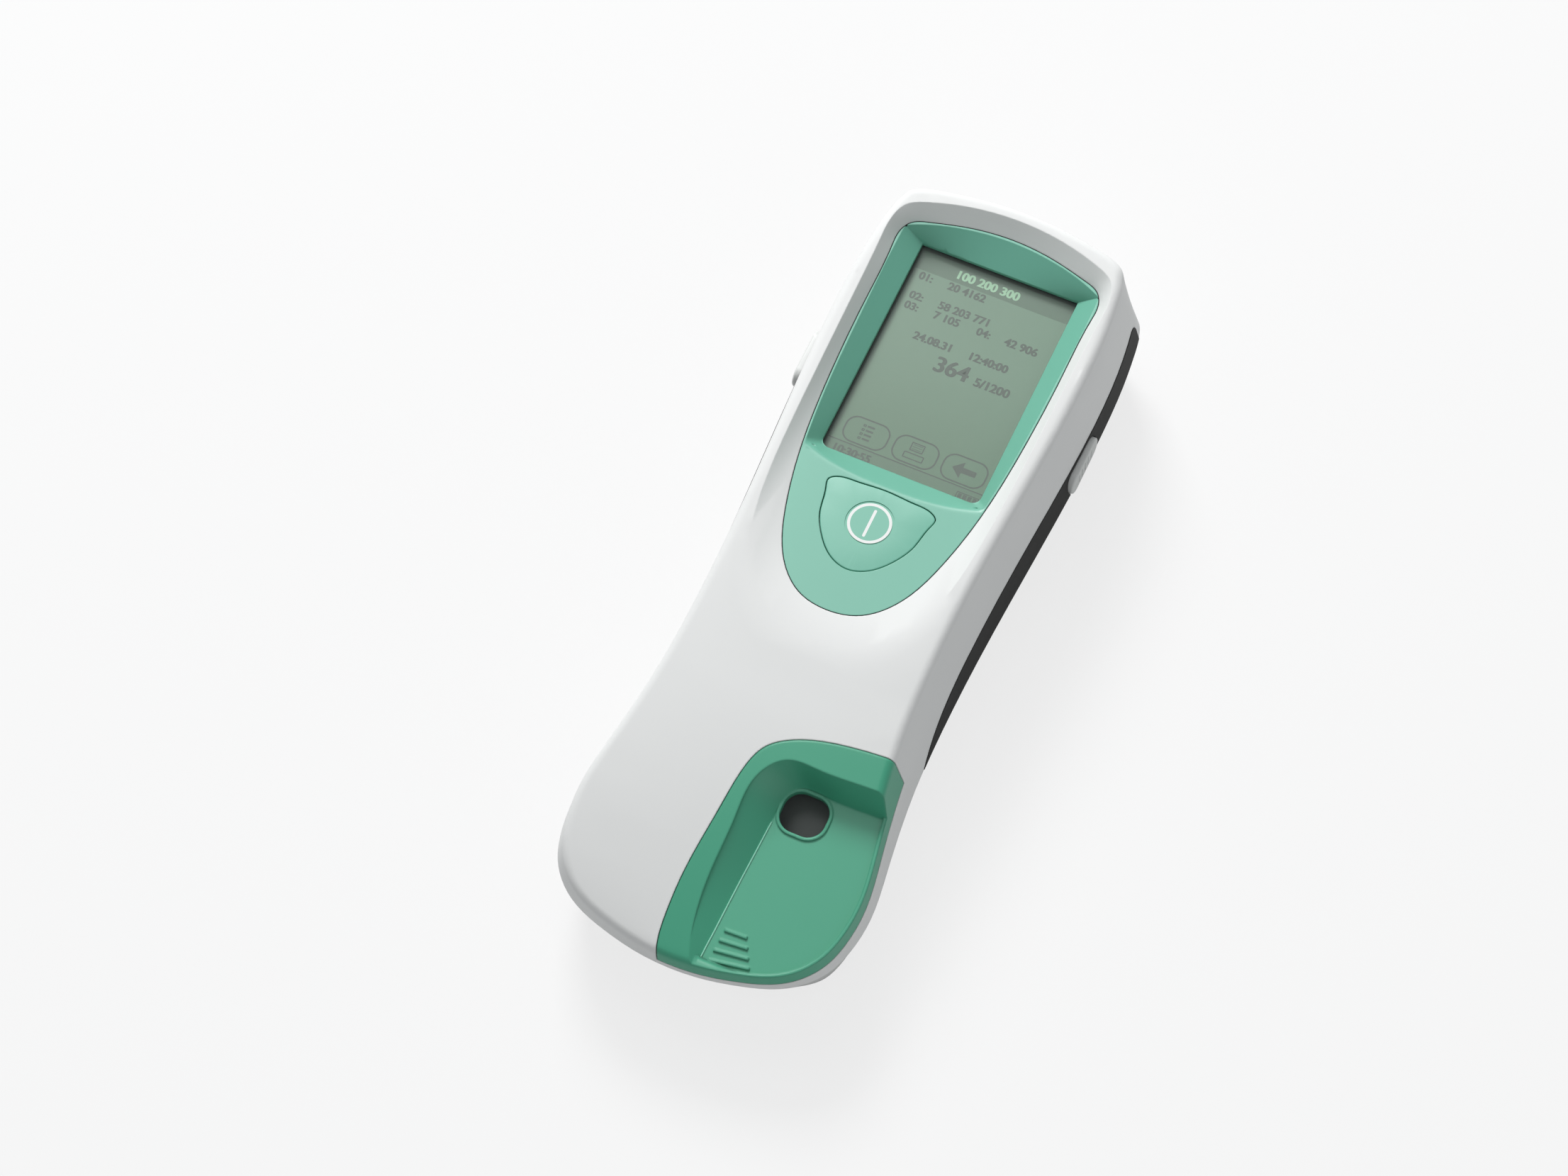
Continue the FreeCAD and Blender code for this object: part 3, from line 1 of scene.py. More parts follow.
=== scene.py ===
# %% [markdown]
# # Rapid test reader
#
# This notebook dresses a hand-held test reader: a soft-edged white shell, a light green
# bezel round a sunk display, a shield-shaped power key and a green cover with a thumb
# recess over the sample port.
#
# The reader already exists as an engineering frame, with every part in its right place
# and every moving part on its own body. The notebook never changes that frame. It either
# gives a part a better surface or puts a more finely finished copy in its place.
# The frame is measured first, because the finished look has to stay inside that box.

# %% Load the frame and measure it
import json
import math

import bmesh
import bpy
from mathutils import Matrix, Vector

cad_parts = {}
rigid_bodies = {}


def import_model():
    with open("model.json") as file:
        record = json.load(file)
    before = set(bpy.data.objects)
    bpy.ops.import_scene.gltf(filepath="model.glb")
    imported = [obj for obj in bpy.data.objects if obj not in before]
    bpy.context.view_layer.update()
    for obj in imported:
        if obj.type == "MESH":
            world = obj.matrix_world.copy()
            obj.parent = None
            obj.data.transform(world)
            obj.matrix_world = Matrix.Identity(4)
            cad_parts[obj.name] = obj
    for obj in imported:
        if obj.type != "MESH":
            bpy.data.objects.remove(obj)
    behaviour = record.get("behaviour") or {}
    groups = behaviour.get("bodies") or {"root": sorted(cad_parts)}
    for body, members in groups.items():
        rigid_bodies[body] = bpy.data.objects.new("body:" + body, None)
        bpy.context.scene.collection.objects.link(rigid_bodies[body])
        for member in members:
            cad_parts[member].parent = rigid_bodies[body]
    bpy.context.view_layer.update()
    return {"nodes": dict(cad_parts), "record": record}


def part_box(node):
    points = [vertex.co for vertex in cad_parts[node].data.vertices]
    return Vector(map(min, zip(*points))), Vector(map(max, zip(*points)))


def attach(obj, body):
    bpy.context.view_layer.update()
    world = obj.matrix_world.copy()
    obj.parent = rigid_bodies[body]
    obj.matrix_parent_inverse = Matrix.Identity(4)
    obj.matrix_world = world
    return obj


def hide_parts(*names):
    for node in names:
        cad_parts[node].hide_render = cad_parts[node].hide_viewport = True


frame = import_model()
MM = 0.001

# %% [markdown]
# ## A small language for materials
#
# Blender's shader nodes are easier to read as sums. `Wire` wraps one socket and turns
# `a * b + c` into Math nodes. `Finish` starts one material, and its `node` method makes
# any other node: it sets the node's own settings first, then its sockets.
# Only what changes over the surface is linked. Everything else is a plain number on the
# shader, so that nothing is lost when the model is exported.

# %% Sockets with arithmetic, and one method that makes a node
# The colour sockets of a Mix node are told apart by number, because their names are equal.
MIX_AMOUNT, MIX_FIRST, MIX_SECOND, MIX_RESULT = 0, 6, 7, 2
BEVEL_RAYS = 6


class Wire:
    """One output socket of a shader node, with arithmetic."""

    def __init__(self, finish, socket):
        self.finish, self.socket = finish, socket

    def _math(self, operation, first, second):
        return self.finish.node(
            "ShaderNodeMath", {"operation": operation}, {0: first, 1: second})[0]

    def __add__(self, other):
        return self._math("ADD", self, other)

    def __sub__(self, other):
        return self._math("SUBTRACT", self, other)

    def __rsub__(self, other):
        return self._math("SUBTRACT", other, self)

    def __mul__(self, other):
        return self._math("MULTIPLY", self, other)

    def __gt__(self, other):
        return self._math("GREATER_THAN", self, other)

    __radd__ = __add__
    __rmul__ = __mul__


class Finish:
    """A procedural material under construction."""

    def __init__(self, name):
        self.material = bpy.data.materials.new(name)
        self.material.use_nodes = True
        self.tree = self.material.node_tree
        self.tree.nodes.clear()
        self.place = self.node("ShaderNodeTexCoord", {}, {})["Object"]

    def node(self, kind, settings, inputs):
        """Makes a node, sets it up, feeds its sockets; returns its outputs by name or number."""
        made = self.tree.nodes.new(kind)
        for name, value in settings.items():
            setattr(made, name, value)
        for key, value in inputs.items():
            if isinstance(value, Wire):
                self.tree.links.new(value.socket, made.inputs[key])
            else:
                made.inputs[key].default_value = value
        outputs = {i: Wire(self, socket) for i, socket in enumerate(made.outputs)}
        outputs.update({socket.name: Wire(self, socket) for socket in made.outputs})
        return outputs

    def noise(self, size_mm, detail=2.0, roughness=0.5, place=None):
        """Soft random cloud, with features about size_mm across."""
        return self.node("ShaderNodeTexNoise", {}, {
            "Vector": place or self.place, "Scale": 1.0 / (size_mm * MM), "Detail": detail,
            "Roughness": roughness})["Fac"]

    def mix(self, amount, first, second):
        """A blend of two colours."""
        return self.node("ShaderNodeMix", {"data_type": "RGBA"}, {
            MIX_AMOUNT: amount, MIX_FIRST: first, MIX_SECOND: second})[MIX_RESULT]

    def fade(self, value, full, none):
        """One where the value is at full, falling smoothly to nothing at none."""
        return self.node("ShaderNodeMapRange", {"interpolation_type": "SMOOTHSTEP"}, {
            0: value, 1: full, 2: none, 3: 1.0, 4: 0.0})[0]

    def bump(self, height, strength, depth_mm, round_mm=0.0):
        """Relief from a height; round_mm also softens the shading of the piece's edges."""
        inputs = {"Strength": strength, "Distance": depth_mm * MM, "Height": height}
        if round_mm:
            inputs["Normal"] = self.node(
                "ShaderNodeBevel", {"samples": BEVEL_RAYS}, {"Radius": round_mm * MM})["Normal"]
        return self.node("ShaderNodeBump", {}, inputs)["Normal"]

    def shader(self, **inputs):
        """Ends the material in a Principled shader."""
        named = {key.replace("_", " "): value for key, value in inputs.items()}
        surface = self.node("ShaderNodeBsdfPrincipled", {}, named)["BSDF"]
        output = self.tree.nodes.new("ShaderNodeOutputMaterial")
        self.tree.links.new(surface.socket, output.inputs["Surface"])
        return self.material


def srgb(red, green, blue, alpha=1.0):
    """A screen colour, 0 to 255, as the linear colour that shaders use."""
    def linear(value):
        value /= 255.0
        return value / 12.92 if value <= 0.04045 else ((value + 0.055) / 1.055) ** 2.4
    return (linear(red), linear(green), linear(blue), alpha)


def shade(colour, factor):
    """The same colour, lighter or darker by a factor."""
    return tuple(channel * factor for channel in colour[:3]) + (colour[3],)


print("sockets ready, middle grey is", round(srgb(128, 128, 128)[0], 3))

# %% [markdown]
# ## Plastics, rubber and metal
#
# A moulded shell isn't one flat colour. Spark erosion leaves a fine grain on the tool,
# and the melt leaves broad, very faint clouds in colour and gloss. Both are noise, at
# a third of a millimetre and at three centimetres. The edges of a large moulding are
# rounder than its mesh, so a Bevel node softens how they shade, and the mesh stays light.
# One function makes every plastic on the reader, and the numbers tell them apart. Rubber
# gets dust in its grain, and metal a cloud stretched along one axis, which looks brushed.

# %% Plastics, rubbers and metals in any colour
CLOUD_MM, SCUFF_MM = 34.0, 6.0
GRAIN_GLOSS, COAT_ROUGHNESS = 0.06, 0.35


def moulded(name, colour, roughness=0.45, grain_mm=0.35, grain_depth=0.012, cloud=0.03,
            wear=0.05, coat=0.0, round_mm=0.0):
    """Fine tool grain, faint clouds in the colour, and small changes of gloss."""
    finish = Finish(name)
    clouds = finish.noise(CLOUD_MM, 3.0)
    grain = finish.noise(grain_mm, 2.0, 0.6)
    scuffs = finish.noise(SCUFF_MM, 6.0, 0.7)
    tint = finish.mix(clouds, shade(colour, 1.0 - cloud), shade(colour, 1.0 + cloud))
    gloss = (scuffs - 0.5) * wear + (grain - 0.5) * GRAIN_GLOSS + roughness
    return finish.shader(
        Base_Color=tint, Roughness=gloss, Normal=finish.bump(grain, 0.35, grain_depth, round_mm),
        Coat_Weight=coat, Coat_Roughness=COAT_ROUGHNESS)


def soft_rubber(name, colour, roughness=0.72):
    """Matt rubber with a little dust in its grain."""
    finish = Finish(name)
    dust = finish.noise(2.2, 5.0, 0.65)
    grain = finish.noise(0.28, 2.0, 0.6)
    tint = finish.mix(dust, shade(colour, 0.85), shade(colour, 1.25))
    return finish.shader(
        Base_Color=tint, Roughness=(dust - 0.5) * 0.12 + roughness,
        Normal=finish.bump(grain, 0.5, 0.02))


def metal(name, colour, roughness=0.3):
    """Bare metal, brushed across the reader: a cloud that is stretched twelve times."""
    finish = Finish(name)
    stretch = finish.node("ShaderNodeMapping", {}, {
        "Vector": finish.place, "Scale": (1.0, 12.0, 12.0)})["Vector"]
    brushed = finish.noise(1.6, 3.0, 0.6, stretch)
    tint = finish.mix(brushed, shade(colour, 0.9), shade(colour, 1.05))
    return finish.shader(
        Base_Color=tint, Metallic=1.0, Roughness=(brushed - 0.5) * 0.18 + roughness,
        Normal=finish.bump(brushed, 0.15, 0.01))


WHITE = srgb(240, 241, 240)
MINT = srgb(118, 190, 167)
GREEN = srgb(74, 172, 138)
materials = {
    "housing_white": moulded("housing white", WHITE, 0.7, cloud=0.012, round_mm=0.6),
    "housing_rear": moulded("housing off-white", srgb(226, 227, 225), 0.48, cloud=0.015),
    "battery_cover": moulded("battery cover off-white", srgb(224, 225, 223), 0.48, cloud=0.015),
    "bezel_green": moulded(
        "bezel light green", MINT, 0.4, 0.3, cloud=0.02, coat=0.3, round_mm=0.4),
    "key_green": moulded("key light green", shade(MINT, 1.04), 0.42, 0.3, cloud=0.02, coat=0.3),
    "cover_green": moulded("cover green", GREEN, 0.38, 0.3, cloud=0.025, coat=0.3, round_mm=1.0),
    "key_symbol": moulded("white inlay", srgb(244, 246, 244), 0.4, cloud=0.01),
    "latch_grey": moulded("button grey", srgb(226, 228, 226), 0.4),
    "grip_dark": soft_rubber("side grip", srgb(42, 42, 41)),
    "foot_rubber": soft_rubber("foot rubber", srgb(52, 52, 52)),
    "gasket": soft_rubber("foam gasket", srgb(30, 30, 30), 0.85),
    "silicone": soft_rubber("silicone mat", srgb(190, 194, 194), 0.5),
    "guide_grey": moulded("strip guide grey", srgb(128, 130, 130), 0.5),
    "frame_grey": moulded("display frame", srgb(60, 60, 60), 0.5),
    "black_plastic": moulded("black plastic", srgb(34, 34, 35), 0.4),
    "chip_black": moulded("component black", srgb(26, 26, 27), 0.5),
    "optics_black": moulded("optics black", srgb(24, 24, 25), 0.6),
    "chip_case": moulded("code chip blue", srgb(52, 96, 158), 0.4),
    "cell_case": moulded("cell sleeve", srgb(84, 88, 92), 0.3, coat=0.5),
    "spring_steel": metal("spring steel", (0.62, 0.61, 0.6, 1.0), 0.28),
    "shield_metal": metal("tinned shield", (0.66, 0.67, 0.66, 1.0), 0.35),
    "switch_metal": metal("switch dome", (0.62, 0.6, 0.56, 1.0), 0.3),
    "screw_steel": metal("zinc plated screw", (0.6, 0.6, 0.62, 1.0), 0.32),
    "heater_copper": metal("heater foil", (0.72, 0.38, 0.24, 1.0), 0.35),
}
print(len(materials), "finishes so far")

# %% [markdown]
# ## Boards, films and windows
#
# The circuit boards carry a green solder mask with lighter traces under it, drawn here
# as a Voronoi cell pattern. The flat cables are amber film with fine copper stripes.
# The windows let light straight through by their alpha, with a thin gloss on top, because
# a refracting slab would darken the display that lies right behind it.

# %% Circuit boards, flat cables, windows and lens
TRACE_PITCH_MM, TRACE_WIDTH = 4.0, 0.12
PAD_PITCH_MM, PAD_WIDTH = 3.0, 0.16
STRIPE_SCALE = 100.0


def circuit_board():
    """Solder mask over a net of traces, with plated pads where cells have their middles."""
    finish = Finish("circuit board")
    cells = finish.node(
        "ShaderNodeTexVoronoi", {"distance": "MANHATTAN", "feature": "DISTANCE_TO_EDGE"},
        {"Vector": finish.place, "Scale": 1.0 / (TRACE_PITCH_MM * MM)})["Distance"]
    trace = cells > TRACE_WIDTH
    pads = finish.node("ShaderNodeTexVoronoi", {}, {
        "Vector": finish.place, "Scale": 1.0 / (PAD_PITCH_MM * MM)})["Distance"]
    base = finish.mix(trace, srgb(60, 124, 84), srgb(24, 84, 52))
    tint = finish.mix(pads > PAD_WIDTH, srgb(196, 176, 104), base)
    return finish.shader(
        Base_Color=tint, Roughness=(finish.noise(3.0) - 0.5) * 0.1 + 0.32,
        Normal=finish.bump(trace, 0.4, 0.03))


def flat_cable():
    """Amber film with copper conductors along the reader."""
    finish = Finish("flat cable film")
    stripes = finish.node("ShaderNodeTexWave", {"bands_direction": "X"}, {
        "Vector": finish.place, "Scale": STRIPE_SCALE, "Distortion": 0.0})["Fac"]
    tint = finish.mix(stripes > 0.5, srgb(168, 104, 40), srgb(204, 142, 66))
    return finish.shader(
        Base_Color=tint, Roughness=(finish.noise(2.0) - 0.5) * 0.1 + 0.3,
        Normal=finish.bump(stripes, 0.2, 0.02))


def clear_window(name, colour, alpha, roughness):
    """A film that lets light straight through, with a thin gloss on top."""
    finish = Finish(name)
    haze = finish.noise(0.4, 2.0, 0.6)
    return finish.shader(
        Base_Color=colour, Alpha=alpha, Roughness=(haze - 0.5) * 0.06 + roughness,
        Normal=finish.bump(haze, 0.1, 0.004))


materials.update({
    "board_green": circuit_board(),
    "flex": flat_cable(),
    "touch_glass": clear_window("touch window", srgb(214, 226, 218), 0.1, 0.22),
    "lens": clear_window("lens", srgb(190, 210, 220), 0.35, 0.05),
    "infrared_window": moulded("infrared window", srgb(52, 14, 20), 0.12, 0.6, 0.002, coat=0.6),
})
print(len(materials), "finishes")

# %% [markdown]
# ## Dressing a part of the frame
#
# A part of the frame is a loose set of triangles, right in shape but with hard facets.
# `dress` makes a copy, merges its doubled points, lets the smooth walls shade smoothly
# and rounds every real edge by a small radius, as a mould tool does. The copy then
# takes the part's place and rides on the same body.

# %% A finely finished copy of a part
body_of_node = {node: body
                for body, members in frame["record"]["behaviour"]["bodies"].items()
                for node in members}
slot_of_node = {part["node"]: part["material_slot"] for part in frame["record"]["subparts"]}
WELD = 0.002 * MM
THINNEST = 0.001 * MM
SMOOTH_BELOW, ROUND_ABOVE = math.radians(28.0), math.radians(35.0)


def finished(name, mesh, body, slot, material=None, stands_for=()):
    """Puts a mesh in the scene as a piece that rides on a body."""
    piece = bpy.data.objects.new(name, mesh)
    bpy.context.scene.collection.objects.link(piece)
    mesh.materials.clear()
    mesh.materials.append(material or materials[slot])
    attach(piece, body)
    if stands_for:
        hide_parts(*stands_for)
    return piece


def mesh_of(work, name):
    """The finished mesh of a bmesh, which is let go."""
    mesh = bpy.data.meshes.new(name)
    work.to_mesh(mesh)
    work.free()
    return mesh


def joined(meshes, name):
    """One mesh from many."""
    work = bmesh.new()
    for part in meshes:
        work.from_mesh(part)
        bpy.data.meshes.remove(part)
    return mesh_of(work, name)


def welded(node):
    """A bmesh of a frame part's triangles, joined where their points meet."""
    work = bmesh.new()
    work.from_mesh(frame["nodes"][node].data)
    bmesh.ops.remove_doubles(work, verts=work.verts, dist=WELD)
    return work


def dress(node, edge_mm):
    """A copy of a frame part with merged points, smooth walls and rounded edges."""
    name = node + "_dressed"
    mesh = frame["nodes"][node].data.copy()
    mesh.name = name
    work = welded(node)
    bmesh.ops.dissolve_degenerate(work, edges=work.edges, dist=THINNEST)
    work.to_mesh(mesh)
    work.free()
    for attribute in [a.name for a in mesh.attributes if a.name.startswith("custom_normal")]:
        mesh.attributes.remove(mesh.attributes[attribute])
    mesh.shade_smooth()
    mesh.set_sharp_from_angle(angle=SMOOTH_BELOW)
    piece = finished(name, mesh, body_of_node[node], slot_of_node[node], stands_for=[node])
    if edge_mm:
        bevel = piece.modifiers.new("edge", "BEVEL")
        bevel.width, bevel.segments = edge_mm * MM, 2
        bevel.limit_method, bevel.angle_limit = "ANGLE", ROUND_ABOVE
        bevel.harden_normals = True
        bevel.use_clamp_overlap = True
    return piece


# How far each part's sharp edges are rounded, in millimetres.
EDGES_MM = {
    "upper_housing": 0.12, "rear_housing": 0.12, "battery_cover": 0.12, "display_bezel": 0.12,
    "application_cover": 0.12, "power_key": 0.1, "key_symbol": 0.0, "side_grip_right": 0.15,
    "side_grip_left": 0.15, "latch_right": 0.15, "latch_left": 0.15, "strip_guide": 0.2,
    "code_chip": 0.2, "rubber_feet": 0.2, "infrared_window": 0.1}
for node, edge_mm in EDGES_MM.items():
    print(node, len(dress(node, edge_mm).data.vertices), "points")

# %% [markdown]
# ## Lines and springs by Geometry Nodes
#
# A few things on the reader follow a path or repeat: a dark line of painted shade in the
# seam round the bezel, the moulded bead along the crease of the thumb recess, and the
# conical springs that press on the batteries. Each could be drawn by hand, but a
# small Geometry Nodes tree with named sizes makes them from a path or from points, so
# that a change of one number is enough. The tree's result is turned into a plain mesh,
# because the modifier's instances wouldn't be exported.

# %% A class for small Geometry Nodes trees, and the two trees
ROUND_SIDES = 8
TURN_STEPS = 20


class Recipe:
    """A Geometry Nodes tree with named number inputs, ending in one finish."""

    def __init__(self, name, **sizes):
        self.sizes = sizes
        self.group = bpy.data.node_groups.new(name, "GeometryNodeTree")
        face = self.group.interface
        face.new_socket("Geometry", in_out="INPUT", socket_type="NodeSocketGeometry")
        self.ids = {}
        for label in sizes:
            socket = face.new_socket(label, in_out="INPUT", socket_type="NodeSocketFloat")
            self.ids[label] = socket.identifier
        face.new_socket("Geometry", in_out="OUTPUT", socket_type="NodeSocketGeometry")
        self.given = self.group.nodes.new("NodeGroupInput").outputs

    def step(self, kind, inputs, **settings):
        """Adds a node and returns its first output; a socket is linked and a number is set."""
        made = self.group.nodes.new(kind)
        for name, value in settings.items():
            setattr(made, name, value)
        for key, value in inputs.items():
            if isinstance(value, bpy.types.NodeSocket):
                self.group.links.new(value, made.inputs[key])
            else:
                made.inputs[key].default_value = value
        return made.outputs[0]

    def end(self, geometry, material):
        """Makes the copies real and gives them their finish, as the last two nodes."""
        whole = self.step("GeometryNodeRealizeInstances", {"Geometry": geometry})
        painted = self.step("GeometryNodeSetMaterial", {"Geometry": whole, "Material": material})
        out = self.group.nodes.new("NodeGroupOutput")
        self.group.links.new(painted, out.inputs["Geometry"])

    def bake(self, name, points, edges=()):
        """Runs the tree on some points, in metres, and returns a plain mesh."""
        seed = bpy.data.meshes.new(name)
        seed.from_pydata(points, edges, [])
        holder = bpy.data.objects.new(name, seed)
        bpy.context.scene.collection.objects.link(holder)
        run = holder.modifiers.new("recipe", "NODES")
        run.node_group = self.group
        for label, size in self.sizes.items():
            run[self.ids[label]] = size
        bpy.context.view_layer.update()
        depsgraph = bpy.context.evaluated_depsgraph_get()
        mesh = bpy.data.meshes.new_from_object(holder.evaluated_get(depsgraph))
        bpy.data.objects.remove(holder)
        return mesh


def line_recipe(name, material, **sizes):
    """A round line along a path of edges, with a chosen radius and spacing."""
    recipe = Recipe(name, **sizes)
    path = recipe.step("GeometryNodeMeshToCurve", {"Mesh": recipe.given["Geometry"]})
    smooth = recipe.step("GeometryNodeCurveSplineType", {"Curve": path}, spline_type="CATMULL_ROM")
    even = recipe.step("GeometryNodeResampleCurve", {
        "Curve": smooth, "Length": recipe.given["Spacing"]}, mode="LENGTH")
    section = recipe.step("GeometryNodeCurvePrimitiveCircle", {
        "Resolution": ROUND_SIDES, "Radius": recipe.given["Radius"]})
    tube = recipe.step("GeometryNodeCurveToMesh", {
        "Curve": even, "Profile Curve": section, "Fill Caps": True})
    recipe.end(recipe.step("GeometryNodeSetShadeSmooth", {"Geometry": tube}), material)
    return recipe


def spring_recipe(name, material, **sizes):
    """A conical coil spring at each point, its axis along the reader."""
    recipe = Recipe(name, **sizes)
    coil = recipe.step("GeometryNodeCurveSpiral", {
        "Resolution": TURN_STEPS, "Rotations": recipe.given["Turns"],
        "Start Radius": recipe.given["Foot Radius"], "End Radius": recipe.given["Tip Radius"],
        "Height": recipe.given["Height"]})
    section = recipe.step("GeometryNodeCurvePrimitiveCircle", {
        "Resolution": ROUND_SIDES, "Radius": recipe.given["Wire"]})
    wire = recipe.step("GeometryNodeCurveToMesh", {
        "Curve": coil, "Profile Curve": section, "Fill Caps": True})
    smooth = recipe.step("GeometryNodeSetShadeSmooth", {"Geometry": wire})
    placed = recipe.step("GeometryNodeInstanceOnPoints", {
        "Points": recipe.given["Geometry"], "Instance": smooth,
        "Rotation": (-math.pi / 2, 0.0, 0.0)})
    recipe.end(placed, material)
    return recipe


print("recipes ready")

# %% [markdown]
# ## The line of painted shade round the bezel
#
# The seam round the bezel shows as a dark line, the shade in its narrow groove. It is
# painted shade: a thin tube in the black of the foam gasket, sunk in the seam. A dark
# stripe in the housing's finish would lie on the surface, and this line lies in a groove,
# so it is a tube. The tube follows the bezel's own rim, which is looked up on the mesh as
# the edges where the top meets the outer wall. The line then stays in the seam when the
# bezel changes.

# %% The rim of the bezel, found on its mesh
# A face is a wall where its normal rises less than SLANT, and a top where it rises more.
SLANT = 0.3
RIM_DEPTH = 0.8 * MM


def rim_loop(node):
    """The longest chain of edges between a part's top and its outer walls, in order."""
    work = welded(node)
    work.normal_update()
    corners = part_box(node)
    centre, top = (corners[0] + corners[1]) / 2, corners[1].z
    ties = {}
    for edge in work.edges:
        if len(edge.link_faces) == 2:
            flat, wall = sorted(edge.link_faces, key=lambda face: -face.normal.z)
            one, other = edge.verts
            place = (one.co + other.co) / 2
            leaves = (wall.normal.x * (place.x - centre.x)
                      + wall.normal.y * (place.y - centre.y)) > 0
            between = flat.normal.z > SLANT and abs(wall.normal.z) < SLANT
            if between and leaves and place.z > top - RIM_DEPTH:
                ties.setdefault(one, []).append(other)
                ties.setdefault(other, []).append(one)
    chains, seen = [], set()
    for start in ties:
        chain, here = [], start
        while here is not None and here not in seen:
            seen.add(here)
            chain.append(here.co.copy())
            here = next((near for near in ties[here] if near not in seen), None)
        if chain:
            chains.append(chain)
    work.free()
    return max(chains, key=lambda chain: max(p.y for p in chain) - min(p.y for p in chain))


rim = rim_loop("display_bezel")
print("rim", len(rim), "points, open by", round((rim[0] - rim[-1]).length / MM, 2), "mm")

# %% The line of painted shade in the bezel's seam
SEAM_OUT, SEAM_SUNK = 0.15, 0.32
bezel_low, bezel_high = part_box("display_bezel")
seam = []
for i, point in enumerate(rim):
    along = rim[(i + 1) % len(rim)] - rim[i - 1]
    side = Vector((along.y, -along.x, 0.0)).normalized()
    middle = Vector((0.0, bezel_low.y * 0.5 + bezel_high.y * 0.5, point.z))
    side = side if side.dot(point - middle) > 0 else -side
    seam.append(point + side * SEAM_OUT * MM - Vector((0, 0, SEAM_SUNK * MM)))
seam_edges = [(i, (i + 1) % len(seam)) for i in range(len(seam))]
# Painted shade: a dark tube in the foam gasket's black stands in for the shade in the seam.
foam = line_recipe("seam shade line", materials["gasket"], Radius=0.36 * MM, Spacing=1.2 * MM)
seam_shade_mesh = foam.bake("bezel_seam_painted_shade", seam, seam_edges)
finished("bezel_seam_painted_shade", seam_shade_mesh, "housing", "gasket")
print("seam shade line", len(seam_shade_mesh.polygons), "faces")

# %% [markdown]
# ## The bead in the thumb recess
#
# Where the recess's floor turns up into its right wall, the moulding has a fine raised
# line that catches the light. Its green is lighter than the cover's, a painted highlight
# along the crease. A bevel on the cover's edge could make it, but its width would change
# with the slope. A thin tube along the crease is as wide at both ends, and it rides on
# the cover, so it opens with it.

# %% The bead along the crease
# Each pair is across the reader and along it from the sample hole, in millimetres. The
# recess's floor falls towards the foot, and the bead stands just proud of it.
CREASE = ((9.6, -56.2), (9.75, -50.0), (10.0, -45.1), (10.3, -36.0),
          (10.7, -25.5), (11.1, -17.0), (11.4, -10.0), (11.6, -6.0))
HOLE_AT, FLOOR_AT, FLOOR_FALL = -78.9, 36.3, math.tan(math.radians(5.6))
BEAD_LIFT = 0.1
crease = [(x * MM, (HOLE_AT + y) * MM, (FLOOR_AT + y * FLOOR_FALL + BEAD_LIFT) * MM)
          for x, y in CREASE]
# Painted highlight: the bead is a lighter green than the cover, for the light along the crease.
bead_painted_highlight = moulded("bead painted highlight green", srgb(150, 220, 194), 0.3, coat=0.4)
bead = line_recipe("bead", bead_painted_highlight, Radius=0.28 * MM, Spacing=1.5 * MM)
bead_mesh = bead.bake("crease_bead", crease, [(i, i + 1) for i in range(len(crease) - 1)])
finished("crease_bead", bead_mesh, "cover", "cover_green", bead_painted_highlight)
print("bead", len(bead_mesh.polygons), "faces")

# %% [markdown]
# ## Coil springs for the batteries
#
# The frame keeps room for each battery spring with a plain solid. The real spring is wire
# wound in a cone. The Screw modifier can wind one, but a spiral curve with a round section
# has its turns, radii and height as plain inputs. In a copy of the contacts the solids are
# found by their place and height and deleted, and a coil takes the place of each.

# %% Coils in place of solids


def islands_of(work):
    """The separate shells of a mesh, each a set of points."""
    left, shells = set(work.verts), []
    while left:
        shell, waiting = set(), [left.pop()]
        while waiting:
            point = waiting.pop()
            shell.add(point)
            for edge in point.link_edges:
                other = edge.other_vert(point)
                if other in left:
                    left.remove(other)
                    waiting.append(other)
        shells.append(shell)
    return shells


TOUCHING, SHORTEST_SPRING = 0.1 * MM, 1.0 * MM
COIL_WIRE = 0.28 * MM
contacts = welded("battery_contacts")
foot_of_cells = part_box("battery_cells")[0].y
seats, lengths = [], []
for shell in islands_of(contacts):
    ys = [v.co.y for v in shell]
    tall = max(ys) - min(ys)
    if max(ys) < foot_of_cells + TOUCHING and tall > SHORTEST_SPRING:
        across, height = (sum(v.co[axis] for v in shell) / len(shell) for axis in (0, 2))
        seats.append((across, min(ys) + COIL_WIRE, height))
        lengths.append(tall)
        bmesh.ops.delete(contacts, geom=list(shell), context="VERTS")
print(len(seats), "springs,", round(max(lengths) / MM, 2), "mm high")
springs = spring_recipe("contact spring", materials["spring_steel"], **{
    "Turns": 3.5, "Foot Radius": 3.1 * MM, "Tip Radius": 1.7 * MM,
    "Height": max(lengths) - 2 * COIL_WIRE, "Wire": COIL_WIRE})
coils = springs.bake("contact_springs", sorted(seats))
plates = mesh_of(contacts, "contact_plates")
finished("battery_contacts_dressed", joined([plates, coils], "battery_contacts_dressed"),
         "housing", slot_of_node["battery_contacts"], stands_for=["battery_contacts"])
